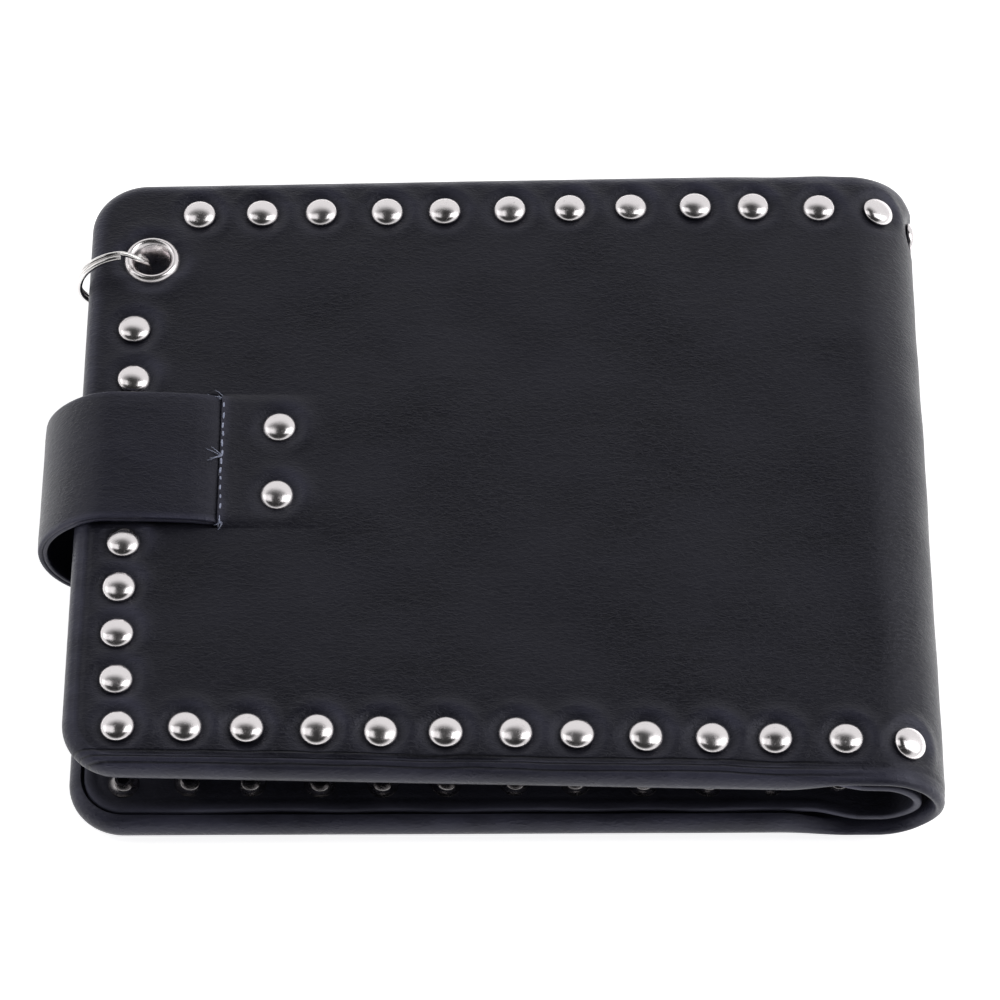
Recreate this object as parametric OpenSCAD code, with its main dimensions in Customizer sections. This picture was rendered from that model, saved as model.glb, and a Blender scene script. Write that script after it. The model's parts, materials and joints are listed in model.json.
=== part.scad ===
// Bifold wallet with a snap strap, three rows of domed rivets, and an eyelet that carries a split ring.
// Millimetres. The wallet lies closed on its back: +X points at the spine, +Y at the far long edge, +Z up.
// The origin is at the bottom centre of the bounding box.

/* [Wallet] */
// Closed width, from the open edge to the outside of the spine
wallet_w = 126; // [116:1:132]
// Depth along the spine direction, at the middle of the width
wallet_d = 106.4; // [98:0.2:112]
// How much deeper the wallet is at the spine than at the open edge
flare = 5.4; // [0:0.2:8]
// Thickness of one padded half
panel_t = 4.5; // [4.5:0.1:5.5]
// Clear height between the halves when closed
inner_gap = 9.8; // [9.8:0.1:12]
// Radius of the two open corners, in plan
corner_r = 8.5; // [6:0.5:10]

/* [Leather] */
// Thickness of the cover leather
cover_t = 1.2; // [1:0.1:1.4]
// Thickness of the lining sheet
lining_t = 1.2; // [1:0.1:1.3]
// Thickness of the spine cover
spine_t = 2; // [1.6:0.1:2.2]
// Thickness of a card pocket leaf
leaf_t = 0.8; // [0.5:0.1:0.8]
// Thickness of the two-ply strap
strap_t = 1.5; // [1.2:0.1:1.6]
// Width of the strap
strap_w = 22.3; // [16:0.1:24]
// How far the strap bulges past the open edge
strap_bulge = 5.9; // [5.9:0.1:8]

/* [Rivets] */
// Diameter of a rivet cap
cap_d = 5; // [4:0.1:5.4]
// Height of a rivet dome
cap_h = 1.2; // [1.2:0.1:1.6]
// Distance of a rivet row from its edge
row_inset = 6.8; // [6:0.1:8]
// Number of rivets in the near row, the one on the spine included
near_count = 13; // [9:1:14]
// Number of rivets in the far row, the one on the spine included
far_count = 12; // [8:1:13]

/* [Eyelet and ring] */
// Bore of the eyelet
eyelet_bore = 4.8; // [4.8:0.1:5.4]
// Outside diameter of the eyelet flange
eyelet_d = 8.6; // [8:0.1:10]
// Outside diameter of the split ring
ring_d = 12; // [12:0.1:12.6]
// Thickness of the ring wire
ring_wire = 1; // [0.8:0.1:1.1]

/* [Hidden] */
$fn = 48;

// Clearances
slip = 0.05;
clear = 0.3;
seam = 0.1;

// Heights: the back rests on its rivet domes
back_z = cap_h;
top_z = back_z + 2 * panel_t + inner_gap;
mid_z = (back_z + top_z) / 2;

// Plan positions: strap bulge and spine rivet dome are the two ends of the bounding box
length = strap_bulge + wallet_w + cap_h;
edge_x = strap_bulge - length / 2;
spine_r = (top_z - back_z) / 2;
spine_x = edge_x + wallet_w - spine_r;
edge_r = panel_t / 2;
// Inset and half height of each step of a rounded edge, as shares of its radius
edge_steps = [[0, 0.5], [0.33, 0.8], [0.78, 1]];
slope = flare / wallet_w / 2;
function half_depth(x) = wallet_d / 2 + slope * x;

// Spine: it is drawn in strips that meet at these angles above and below the middle, and it opens
// about the two inner lines, which lie on its outside face
hinge_outer = 86;
hinge_inner = 44;
joint_gap = 0.15;
lining_r = inner_gap / 2 + seam - 0.25 + lining_t;
thin_x = spine_x - 4;

// Lining and board
rim_w = 3.2;
lining_z = mid_z + lining_r - lining_t;
board_inset = 11.5;
board_z = lining_z + lining_t + slip;
board_top = top_z - cover_t;
leaf_x0 = edge_x + 12;
leaf_x1 = spine_x - 6;
leaf_inset = 12;
pocket_step = 11;
divider_t = 0.7;

// Rivets
tube_r = 1.25;
tube_bore = 0.9;
plug_r = 0.85;
flange_r = 2.15;
flange_t = 0.45;
// A flat flange on the curved inside of the spine stands off by the depth of its arc
flange_sink = spine_r - spine_t + slip - sqrt(pow(spine_r - spine_t, 2) - pow(flange_r, 2));
lip_h = 0.7;
row_x0 = edge_x + 8.1;
spine_rivet_angle = 66;
spine_rivet_x = spine_x + spine_r * cos(spine_rivet_angle);
near_pitch = (spine_rivet_x - row_x0) / (near_count - 1);
far_x0 = row_x0 + 8.3;
far_pitch = (spine_rivet_x - far_x0) / (far_count - 1);
column_x = edge_x + 7.4;
column_near_pitch = 7.75;
column_far_pitch = 9.2;
side_rivet_angle = 7;
strap_rivet_x = edge_x + 29.7;
strap_rivet_y = 6.05;
wobble = 0.35;

// Eyelet and ring
eyelet_x = edge_x + 9.5;
eyelet_y = half_depth(eyelet_x) - 15.2;
eyelet_wall = 0.35;
eyelet_h = 0.7;
washer_d = eyelet_d - 0.6;
washer_t = 0.4;
ring_r = (ring_d - ring_wire) / 2;
ring_reach = 5.6;
ring_z = top_z - 2.8;
ring_yaw = 15;

// Strap: a C round the open edge, between the slit on the front and the snap on the back
strap_r = (top_z - back_z) / 2 + 1.7;
bend_x = edge_x - strap_bulge + strap_r;
bend_z = strap_r + 0.25;
bend_first = 112.5;
bend_step = 45;
slit_x = edge_x + 21.1;
root_x1 = edge_x + 36;
tail_end = bend_x + 24.5;
tail_z = 0.9;
snap_x = tail_end - strap_w / 2;
snap_r = 5;
socket_t = 0.8;
socket_bore = 2.05;
stud_r = 1.9;
stud_flange_t = 0.25;
post_r = 0.8;
post_flange_t = 0.35;
pocket_z = tail_z + strap_t + socket_t + stud_flange_t + seam;

leather = [0.06, 0.06, 0.09];
lining_black = [0.1, 0.1, 0.14];
nickel = [0.78, 0.76, 0.76];
board_grey = [0.45, 0.42, 0.38];

// ---- helpers ----

// Puts a front half shape on the back half
module turned_over() {
    translate([0, 0, 2 * mid_z])
        mirror([0, 0, 1])
            children();
}

// Plan outline of a half, drawn in by inset, with open corners of radius r, from the open edge to x_end
module plan(inset, r, x_end) {
    x0 = edge_x + inset;
    union() {
        for (side = [-1, 1])
            translate([x0 + r, side * (half_depth(x0 + r) - inset - r)])
                circle(r);
        polygon([
            [x0 + r, -half_depth(x0 + r) + inset], [x_end, -half_depth(x_end) + inset],
            [x_end, half_depth(x_end) - inset], [x0 + r, half_depth(x0 + r) - inset],
        ]);
        translate([x0, -half_depth(x0 + r) + inset + r])
            square([r + 1, 2 * (half_depth(x0 + r) - inset - r)]);
    }
}

// A padded slab lying on z = 0: its open, near and far edges are rounded in steps
module rolled_slab(x_end) {
    for (step = edge_steps) {
        inset = step[0] * edge_r;
        rise = step[1] * edge_r;
        translate([0, 0, edge_r - rise])
            linear_extrude(2 * rise)
                plan(inset, corner_r - inset, x_end);
    }
}

// Sector of a ring in the X-Z plane about (x, z), drawn out along Y
module bent_strip(x, z, r_in, r_out, from, to, depth) {
    reach = 2 * r_out;
    middle = (from + to) / 2;
    translate([x, 0, z])
        rotate([90, 0, 0])
            linear_extrude(depth, center = true)
                intersection() {
                    difference() {
                        circle(r_out, $fn = 96);
                        circle(r_in, $fn = 96);
                    }
                    polygon([
                        [0, 0],
                        reach * [cos(from), sin(from)],
                        reach * [cos(middle), sin(middle)],
                        reach * [cos(to), sin(to)],
                    ]);
                }
}

module spine_strip(r_in, r_out, from, to) {
    bent_strip(spine_x, mid_z, r_in, r_out, from + joint_gap, to - joint_gap, 2 * half_depth(spine_x));
}

module strap_strip(from, to) {
    bent_strip(bend_x, bend_z, strap_r - strap_t, strap_r, from + joint_gap, to - joint_gap, strap_w);
}

// A short run of each row sits a little off the line, as hand-set rivets do
function wander(i, turn) = wobble * sin(i * turn);

function near_row() = [for (i = [0 : near_count - 2])
    let (x = row_x0 + i * near_pitch + wander(i, 137)) [x, -half_depth(x) + row_inset + wander(i, 71) / 3]];
function far_row(first) = [for (i = [first : far_count - 2])
    let (x = far_x0 + i * far_pitch + wander(i, 151)) [x, half_depth(x) - row_inset + wander(i, 67) / 3]];
function edge_column() = concat(
    [for (i = [1 : 4])
        [column_x + wander(i, 101) / 2, -half_depth(row_x0) + row_inset + i * column_near_pitch]],
    [for (i = [0 : 1])
        [column_x + wander(i, 80), eyelet_y - 12.9 - i * column_far_pitch]]);
function strap_pair() = [for (side = [-1, 1]) [strap_rivet_x, side * strap_rivet_y]];
function spine_pair() = [for (side = [-1, 1]) side * (half_depth(spine_rivet_x) - row_inset)];

// Rivet cap on z = 0: low dome with a flat top and a plug that enters the tube
module rivet_cap(plug) {
    flat_r = cap_d * 0.2;
    rim_z = 0.25;
    // the dome is part of a sphere through the rim and the edge of the flat top
    centre_z = (cap_h + rim_z) / 2 - (cap_d * cap_d / 4 - flat_r * flat_r) / 2 / (cap_h - rim_z);
    color(nickel)
        rotate_extrude()
            union() {
                intersection() {
                    translate([0, centre_z])
                        circle(norm([flat_r, cap_h - centre_z]), $fn = 96);
                    square([cap_d / 2, cap_h]);
                }
                translate([0, -plug])
                    square([plug_r, plug + seam]);
            }
}

// Tubular rivet back: its tube reaches up to z = reach, its flange lies under z = 0
module rivet_back(reach, lip) {
    color(nickel)
        difference() {
            union() {
                translate([0, 0, -flange_t])
                    cylinder(r = flange_r, h = flange_t);
                translate([0, 0, -lip])
                    cylinder(r = tube_r + 0.1, h = lip);
                cylinder(r = tube_r, h = reach);
            }
            translate([0, 0, -lip - 1])
                cylinder(r = tube_bore, h = lip + reach + 2);
        }
}

module caps_at(points, plug) {
    for (p = points)
        translate([p[0], p[1], top_z])
            rivet_cap(plug);
}

module backs_at(points) {
    for (p = points)
        translate([p[0], p[1], lining_z])
            rivet_back(top_z - lining_z - seam, lip_h);
}

module tube_holes(points) {
    for (p = points)
        translate([p[0], p[1], back_z])
            cylinder(r = tube_r + slip, h = top_z);
}

// Turns a shape that stands on z = 0 onto the outside of the spine, at an angle above the middle
module on_spine(angle, y) {
    translate([spine_x, y, mid_z])
        rotate([0, 90 - angle, 0])
            translate([0, 0, spine_r])
                children();
}

module spine_holes(angle, ys) {
    for (y = ys)
        on_spine(angle, y)
            translate([0, 0, -spine_t - 1])
                cylinder(r = tube_r + slip, h = spine_t + 2);
}

module spine_caps(angle, ys) {
    for (y = ys)
        on_spine(angle, y)
            rivet_cap(spine_t - 0.6);
}

module spine_backs(angle, ys) {
    for (y = ys)
        on_spine(angle, y)
            translate([0, 0, -spine_t - flange_sink])
                rivet_back(spine_t, flange_t + 0.2);
}

// ---- one padded half, drawn as the front ----

module half_cover() {
    difference() {
        union() {
            translate([0, 0, top_z - panel_t])
                rolled_slab(spine_x);
            spine_strip(spine_r - spine_t, spine_r, hinge_outer, 90 + joint_gap);
        }
        // recess for the lining
        translate([0, 0, lining_z - 1])
            linear_extrude(lining_t + 1 + slip)
                plan(rim_w, corner_r - rim_w, spine_x + 1);
        // room for the stiffener
        translate([0, 0, lining_z])
            linear_extrude(board_top - lining_z)
                plan(board_inset, 2, thin_x + 0.1);
        // the cover thins towards the spine
        translate([thin_x, -wallet_d, top_z - panel_t - 1])
            cube([10, 2 * wallet_d, panel_t + 1 - spine_t]);
    }
}

module half_board() {
    color(board_grey)
        translate([0, 0, board_z])
            linear_extrude(board_top - board_z - slip)
                plan(board_inset + clear, 2, thin_x - clear);
}

module half_lining() {
    color(lining_black) {
        translate([0, 0, lining_z])
            linear_extrude(lining_t)
                plan(rim_w + 0.25, corner_r - rim_w - 0.25, spine_x);
        intersection() {
            spine_strip(lining_r - lining_t, lining_r, hinge_outer, 90 + joint_gap);
            translate([0, 0, mid_z])
                cube([2 * length, 2 * (half_depth(spine_x) - rim_w - 0.25), 4 * spine_r], center = true);
        }
    }
}

module spine_lining(from, to) {
    color(lining_black)
        bent_strip(spine_x, mid_z, lining_r - lining_t, lining_r,
            from + joint_gap, to - joint_gap, 2 * (half_depth(spine_x) - rim_w - 0.25));
}

// A leaf that lies under the lining: level is its distance below it, cut is how far its far side steps back
module leaf(level, t, cut) {
    translate([leaf_x0, -half_depth(edge_x) + leaf_inset, lining_z - level - t])
        cube([leaf_x1 - leaf_x0, 2 * half_depth(edge_x) - 2 * leaf_inset - cut, t]);
}

// ---- front half ----

module strap_profile() {
    polygon([
        [bend_x, bend_z + strap_r - strap_t], [slit_x - 7, top_z + 0.75],
        [slit_x - 2.4, top_z + 0.2], [slit_x - 1.8, top_z - 0.3],
        [slit_x + 1, board_top - strap_t], [root_x1, board_top - strap_t],
        [root_x1, board_top - slip], [slit_x + 3, board_top - slip],
        [slit_x - 0.4, top_z + 1.2], [slit_x - 3, top_z + 1.75],
        [slit_x - 7, top_z + 2.25], [bend_x, bend_z + strap_r],
    ]);
}

module strap_cut(grow, width) {
    translate([0, width / 2, 0])
        rotate([90, 0, 0])
            linear_extrude(width)
                polygon([
                    [slit_x - 3.2 - grow, top_z + 1], [slit_x + 0.9 - grow, board_top - strap_t - 0.05],
                    [root_x1 + grow, board_top - strap_t - 0.05], [root_x1 + grow, board_top],
                    [slit_x + 3.1 + grow, board_top], [slit_x - 0.2 + grow, top_z + 1],
                ]);
}

module front_cover() {
    color(leather)
        difference() {
            half_cover();
            strap_cut(0.1, strap_w + 0.2);
            tube_holes(concat(near_row(), far_row(0), edge_column(), strap_pair()));
            eyelet_hole();
        }
}

module front_board() {
    difference() {
        half_board();
        strap_cut(0.2, strap_w + 0.4);
        eyelet_hole();
        for (p = strap_pair())
            translate([p[0], p[1], board_z - 1]) {
                cylinder(r = tube_r + slip, h = panel_t);
                cylinder(r = flange_r + slip, h = 1 + flange_t + slip);
            }
    }
}

module front_lining() {
    difference() {
        half_lining();
        tube_holes(concat(near_row(), far_row(0), edge_column()));
        eyelet_hole();
    }
}

module front_note_divider() {
    color(lining_black)
        difference() {
            leaf(0, divider_t, 0);
            translate([eyelet_x, eyelet_y, 0])
                cylinder(d = washer_d + clear, h = top_z);
        }
}

module front_card_pocket(n) {
    color(leather)
        leaf(divider_t + n * leaf_t, leaf_t, (n + 1) * pocket_step);
}

module front_near_rivet_caps() { caps_at(near_row(), 1.6); }
module front_far_rivet_caps() { caps_at(far_row(0), 1.6); }
module front_edge_rivet_caps() { caps_at(edge_column(), 1.6); }
module strap_rivet_caps() { caps_at(strap_pair(), 1); }
module front_near_rivet_backs() { backs_at(near_row()); }
module front_far_rivet_backs() { backs_at(far_row(0)); }
module front_edge_rivet_backs() { backs_at(edge_column()); }

module strap_rivet_backs() {
    for (p = strap_pair())
        translate([p[0], p[1], board_z + flange_t])
            rivet_back(top_z - board_z - flange_t - seam, flange_t);
}

module eyelet_hole() {
    translate([eyelet_x, eyelet_y, 0])
        cylinder(r = eyelet_bore / 2 + eyelet_wall + slip, h = 2 * top_z);
}

// Eyelet: a tube with a rolled flange on the outside, set over the washer on the inside
module eyelet_barrel() {
    bore_r = eyelet_bore / 2;
    roll_r = eyelet_h / 2;
    tube_h = top_z + eyelet_h - roll_r - lining_z + washer_t + slip;
    color(nickel)
        translate([eyelet_x, eyelet_y, 0])
            rotate_extrude()
                union() {
                    translate([bore_r, lining_z - washer_t - slip])
                        square([eyelet_wall, tube_h]);
                    translate([bore_r + roll_r, top_z + roll_r])
                        circle(roll_r);
                    translate([bore_r + roll_r, top_z])
                        square([eyelet_d / 2 - bore_r - 2 * roll_r, eyelet_h]);
                    translate([eyelet_d / 2 - roll_r, top_z + roll_r])
                        circle(roll_r);
                }
}

module eyelet_washer() {
    color(nickel)
        difference() {
            translate([eyelet_x, eyelet_y, lining_z - washer_t])
                cylinder(d = washer_d, h = washer_t);
            eyelet_hole();
        }
}

module slit_thread() {
    thread_r = 0.22;
    pitch = 2.4;
    color([0.55, 0.6, 0.75])
        for (y = [-strap_w / 2 + 0.3 : pitch : strap_w / 2 - 1.5])
            translate([slit_x + 1.5, y, top_z + thread_r])
                rotate([-90, 0, 0])
                    cylinder(r = thread_r, h = pitch * 0.75, $fn = 16);
}

module strap_root() {
    color(leather)
        difference() {
            union() {
                translate([0, strap_w / 2, 0])
                    rotate([90, 0, 0])
                        linear_extrude(strap_w)
                            strap_profile();
                strap_strip(90 - joint_gap, bend_first);
            }
            tube_holes(strap_pair());
        }
}

// ---- split ring ----

module split_ring() {
    wire_r = ring_wire / 2;
    color(nickel)
        translate([eyelet_x, eyelet_y, ring_z])
            rotate([0, 0, ring_yaw])
                translate([-ring_reach, 0, 0])
                    rotate([90, 0, 0])
                        rotate_extrude()
                            for (side = [-1, 1])
                                translate([ring_r, side * wire_r * 0.92])
                                    circle(wire_r, $fn = 32);
}

// ---- strap ----

module strap_bend(n) {
    from = bend_first + n * bend_step;
    color(leather)
        strap_strip(from, from + bend_step);
}

module strap_tail() {
    color(leather)
        difference() {
            union() {
                strap_strip(bend_first + 3 * bend_step, 270 + joint_gap);
                translate([0, strap_w / 2, 0])
                    rotate([90, 0, 0])
                        linear_extrude(strap_w)
                            polygon([
                                [bend_x, bend_z - strap_r], [bend_x + 6, tail_z],
                                [snap_x, tail_z], [snap_x, tail_z + strap_t],
                                [bend_x + 6, tail_z + strap_t], [bend_x, bend_z - strap_r + strap_t],
                            ]);
                translate([snap_x, 0, tail_z])
                    cylinder(d = strap_w, h = strap_t, $fn = 96);
            }
            translate([snap_x, 0, 0])
                cylinder(r = socket_bore + 0.15, h = 4);
        }
}

module snap_cap() {
    dome_r = (snap_r * snap_r + tail_z * tail_z) / 2 / tail_z;
    color(nickel)
        translate([snap_x, 0, 0])
            rotate_extrude()
                intersection() {
                    translate([0, dome_r])
                        circle(dome_r, $fn = 192);
                    square([snap_r, tail_z]);
                }
}

module snap_socket() {
    color(nickel)
        translate([snap_x, 0, tail_z + strap_t])
            difference() {
                cylinder(r = snap_r - 0.4, h = socket_t - 0.1);
                translate([0, 0, -1])
                    cylinder(r = socket_bore, h = 3);
            }
}

// ---- spine ----

module spine_cover_upper() {
    color(leather)
        difference() {
            spine_strip(spine_r - spine_t, spine_r, hinge_inner, hinge_outer);
            spine_holes(spine_rivet_angle, spine_pair());
        }
}

module spine_cover_middle() {
    color(leather)
        difference() {
            spine_strip(spine_r - spine_t, spine_r, -hinge_inner, hinge_inner);
            spine_holes(side_rivet_angle, [spine_pair()[1]]);
        }
}

module spine_cover_lower() { turned_over() spine_cover_upper(); }
module spine_lining_upper() { spine_lining(hinge_inner, hinge_outer); }
module spine_lining_middle() { spine_lining(-hinge_inner, hinge_inner); }
module spine_lining_lower() { spine_lining(-hinge_outer, -hinge_inner); }
module spine_upper_rivet_caps() { spine_caps(spine_rivet_angle, spine_pair()); }
module spine_upper_rivet_backs() { spine_backs(spine_rivet_angle, spine_pair()); }
module spine_side_rivet_cap() { spine_caps(side_rivet_angle, [spine_pair()[1]]); }
module spine_side_rivet_back() { spine_backs(side_rivet_angle, [spine_pair()[1]]); }
module spine_lower_rivet_caps() { spine_caps(-spine_rivet_angle, spine_pair()); }
module spine_lower_rivet_backs() { spine_backs(-spine_rivet_angle, spine_pair()); }

// ---- back half ----

// Channel that the strap and the snap press into the padding, in place on the back
module strap_channel() {
    width = strap_w + 2 * clear;
    bent_strip(bend_x, bend_z, strap_r - strap_t - clear, strap_r + 4, 200, 271, width);
    translate([bend_x - 0.5, -width / 2, -1])
        cube([snap_x - bend_x + 0.5, width, 1 + tail_z + strap_t + clear / 2]);
    translate([snap_x, 0, -1]) {
        cylinder(d = width, h = 1 + tail_z + strap_t + clear / 2);
        cylinder(r = snap_r + clear, h = 1 + pocket_z - stud_flange_t);
        cylinder(r = 3.3, h = 1 + pocket_z);
        cylinder(r = post_r + slip, h = 2 * panel_t);
    }
}

module back_cover() {
    color(leather)
        difference() {
            union() {
                turned_over()
                    half_cover();
                // solid padding over the strap, in place of the stiffener
                translate([edge_x + board_inset - 1, -strap_w / 2 - 2, back_z + cover_t - 0.2])
                    cube([tail_end - edge_x - board_inset + 4, strap_w + 4,
                        2 * mid_z - board_z - post_flange_t - seam - back_z - cover_t + 0.2]);
            }
            strap_channel();
            turned_over()
                tube_holes(concat(near_row(), far_row(-1), edge_column()));
        }
}

module back_board() {
    difference() {
        turned_over()
            half_board();
        translate([edge_x, -strap_w / 2 - 2.3, 0])
            cube([tail_end - edge_x + 3.3, strap_w + 4.6, 2 * panel_t]);
    }
}

module back_lining() {
    difference() {
        turned_over()
            half_lining();
        turned_over()
            tube_holes(concat(near_row(), far_row(-1), edge_column()));
    }
}

module back_note_divider() {
    color(lining_black)
        turned_over()
            leaf(0, divider_t, 0);
}

module back_card_pocket(n) {
    color(leather)
        turned_over()
            leaf(divider_t + n * leaf_t, leaf_t, (n + 1) * pocket_step);
}

// Window pocket for a card: a frame over a clear film
module back_window_frame() {
    frame_w = 9;
    color(leather)
        turned_over()
            difference() {
                leaf(divider_t + 2 * leaf_t, leaf_t, 3 * pocket_step);
                translate([leaf_x0 + frame_w, -half_depth(edge_x) + leaf_inset + frame_w, 0])
                    cube([leaf_x1 - leaf_x0 - 2 * frame_w,
                        2 * half_depth(edge_x) - 2 * leaf_inset - 3 * pocket_step - 2 * frame_w, top_z]);
            }
}

module back_window_film() {
    frame_w = 9 + seam;
    film_t = 0.3;
    color([0.8, 0.85, 0.9, 0.4])
        turned_over()
            translate([leaf_x0 + frame_w, -half_depth(edge_x) + leaf_inset + frame_w,
                lining_z - divider_t - 2 * leaf_t - film_t])
                cube([leaf_x1 - leaf_x0 - 2 * frame_w,
                    2 * half_depth(edge_x) - 2 * leaf_inset - 3 * pocket_step - 2 * frame_w, film_t]);
}

module back_near_rivet_caps() { turned_over() caps_at(near_row(), 1.6); }
module back_far_rivet_caps() { turned_over() caps_at(far_row(-1), 1.6); }
module back_edge_rivet_caps() { turned_over() caps_at(edge_column(), 1.6); }
module back_near_rivet_backs() { turned_over() backs_at(near_row()); }
module back_far_rivet_backs() { turned_over() backs_at(far_row(-1)); }
module back_edge_rivet_backs() { turned_over() backs_at(edge_column()); }

// Stud: the head that the socket grips, with a thin flange against the cover
module snap_stud() {
    color(nickel)
        translate([snap_x, 0, 0])
            difference() {
                union() {
                    translate([0, 0, tail_z + strap_t - 0.5])
                        cylinder(r = stud_r, h = pocket_z - tail_z - strap_t + 0.5);
                    translate([0, 0, pocket_z - stud_flange_t])
                        cylinder(r = 3.2, h = stud_flange_t);
                }
                cylinder(r = post_r + slip, h = 2 * panel_t);
            }
}

module snap_post() {
    flange_z = 2 * mid_z - board_z - post_flange_t;
    color(nickel)
        translate([snap_x, 0, 0])
            union() {
                translate([0, 0, flange_z])
                    cylinder(r = 3.5, h = post_flange_t);
                translate([0, 0, tail_z + strap_t])
                    cylinder(r = post_r, h = flange_z - tail_z - strap_t + 0.1);
            }
}

front_cover();
front_board();
front_lining();
front_note_divider();
front_card_pocket(0);  // front_card_pocket_rear
front_card_pocket(1);  // front_card_pocket_middle
front_card_pocket(2);  // front_card_pocket_front
front_near_rivet_caps();
front_far_rivet_caps();
front_edge_rivet_caps();
strap_rivet_caps();
front_near_rivet_backs();
front_far_rivet_backs();
front_edge_rivet_backs();
strap_rivet_backs();
eyelet_barrel();
eyelet_washer();
slit_thread();
strap_root();
split_ring();
strap_bend(0);  // strap_bend_upper
strap_bend(1);  // strap_bend_middle
strap_bend(2);  // strap_bend_lower
strap_tail();
snap_cap();
snap_socket();
spine_cover_upper();
spine_lining_upper();
spine_upper_rivet_caps();
spine_upper_rivet_backs();
spine_cover_middle();
spine_lining_middle();
spine_side_rivet_cap();
spine_side_rivet_back();
spine_cover_lower();
spine_lining_lower();
spine_lower_rivet_caps();
spine_lower_rivet_backs();
back_cover();
back_board();
back_lining();
back_note_divider();
back_card_pocket(0);  // back_card_pocket_rear
back_card_pocket(1);  // back_card_pocket_front
back_window_frame();
back_window_film();
back_near_rivet_caps();
back_far_rivet_caps();
back_edge_rivet_caps();
back_near_rivet_backs();
back_far_rivet_backs();
back_edge_rivet_backs();
snap_stud();
snap_post();
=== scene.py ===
"""Chain wallet: a closed bifold wallet in near-black leather, with rivets, a snap strap and a split ring."""

import json
import math

import bmesh
import bpy
import numpy as np
from bpy.props import FloatProperty, FloatVectorProperty, PointerProperty
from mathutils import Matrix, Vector


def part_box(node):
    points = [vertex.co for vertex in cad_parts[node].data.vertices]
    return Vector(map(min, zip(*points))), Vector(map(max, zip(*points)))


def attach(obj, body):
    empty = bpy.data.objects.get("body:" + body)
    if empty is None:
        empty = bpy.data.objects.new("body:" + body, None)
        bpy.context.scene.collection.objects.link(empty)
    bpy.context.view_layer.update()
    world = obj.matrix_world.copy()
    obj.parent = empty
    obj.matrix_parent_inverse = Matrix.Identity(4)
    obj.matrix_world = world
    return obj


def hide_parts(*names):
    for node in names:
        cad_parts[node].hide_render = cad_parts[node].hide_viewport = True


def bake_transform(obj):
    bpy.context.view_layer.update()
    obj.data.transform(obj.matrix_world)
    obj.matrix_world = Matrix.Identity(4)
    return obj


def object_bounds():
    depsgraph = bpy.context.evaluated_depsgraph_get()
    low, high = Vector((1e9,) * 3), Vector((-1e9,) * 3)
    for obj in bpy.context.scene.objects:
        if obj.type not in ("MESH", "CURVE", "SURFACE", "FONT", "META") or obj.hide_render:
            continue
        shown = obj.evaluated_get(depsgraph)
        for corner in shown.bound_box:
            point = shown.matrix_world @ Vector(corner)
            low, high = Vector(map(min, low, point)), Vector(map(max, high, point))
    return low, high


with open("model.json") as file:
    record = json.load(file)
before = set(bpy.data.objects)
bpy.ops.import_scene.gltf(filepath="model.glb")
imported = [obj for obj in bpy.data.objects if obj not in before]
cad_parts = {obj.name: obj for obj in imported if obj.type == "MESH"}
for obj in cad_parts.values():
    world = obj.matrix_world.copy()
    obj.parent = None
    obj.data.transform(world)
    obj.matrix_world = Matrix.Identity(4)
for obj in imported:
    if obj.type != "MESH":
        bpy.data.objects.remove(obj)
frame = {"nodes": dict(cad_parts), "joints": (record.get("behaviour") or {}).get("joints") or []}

bl_info = {
    "name": "Chain Wallet",
    "version": (1, 0, 0),
    "blender": (4, 5, 0),
    "location": "View3D > Sidebar > Wallet",
    "description": "Builds a riveted bifold wallet with a snap strap and a split ring",
    "category": "Add Mesh",
}

CAD_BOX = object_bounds()
MM = 0.001

# ---- places and sizes in millimetres, read from the frame where it has them ----


def box(node):
    """Lowest and highest corner of a CAD node, in millimetres."""
    low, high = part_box(node)
    return np.array(low) / MM, np.array(high) / MM


def joint_place(name):
    """Where a joint's axis lies, in millimetres."""
    return next(np.array(j["pos_m"]) / MM for j in frame["joints"] if j["name"] == name)


EDGE_X = box("front_cover")[0][0]
TOP_Z = box("front_cover")[1][2]
PANEL_T = TOP_Z - box("front_cover")[0][2]
SPINE_END = box("spine_cover_middle")[1][0]
FOLD, FOLD_FRONT = joint_place("fold"), joint_place("fold_front")
MID_Z = (FOLD[2] + FOLD_FRONT[2]) / 2
BACK_Z = 2 * MID_Z - TOP_Z
SPINE_R = TOP_Z - MID_Z
SPINE_X = SPINE_END - SPINE_R
SPINE_T = 2.0
LINING_R = box("spine_lining_middle")[1][0] - SPINE_X
LINING_Z = box("front_lining")[0][2]
LINING_T = 1.2
LINING_INSET = 2.25
LINING_ROLL = 0.45
CORNER_R = 8.5
WIDENING, WIDTH = 5.4, 126
SLOPE = WIDENING / WIDTH / 2
HALF_DEPTH = box("spine_cover_middle")[1][1] - SLOPE * SPINE_X
EYELET = (box("eyelet_barrel")[0] + box("eyelet_barrel")[1]) / 2
STRAP_W = box("strap_root")[1][1] * 2
STRAP_T = 1.5
STRAP_R = 11.1
FIRST_HINGE = 112.5
BEND = np.array([joint_place("strap_open")[0] - STRAP_R * math.cos(math.radians(FIRST_HINGE)),
                 joint_place("strap_open")[2] - STRAP_R * math.sin(math.radians(FIRST_HINGE))])
SLIT_X = EDGE_X + 21.1
ROOT_X = box("strap_root")[1][0]
TAIL_END = box("strap_tail")[1][0]
SNAP_X = TAIL_END - STRAP_W / 2
TAIL_Z = box("snap_cap")[1][2]
SEAM_X = SPINE_X - 3
RING_YAW = math.radians(15)
RING_FLAT = np.array([math.cos(RING_YAW), math.sin(RING_YAW), 0])
RING_AXIS = np.array([-math.sin(RING_YAW), math.cos(RING_YAW), 0])
RING_WIRE = 0.42
ISLAND_GAP = 0.8
EDGE_LAYERS = 14
FLOOR_HALF, FLOOR_T = 3000, 20
VIEW_MIDDLE = (1.75, -6.83, TOP_Z)
SKY_WAY = (-0.13, -0.33, 1)
LENS, SENSOR = 159.6, 36


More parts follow.
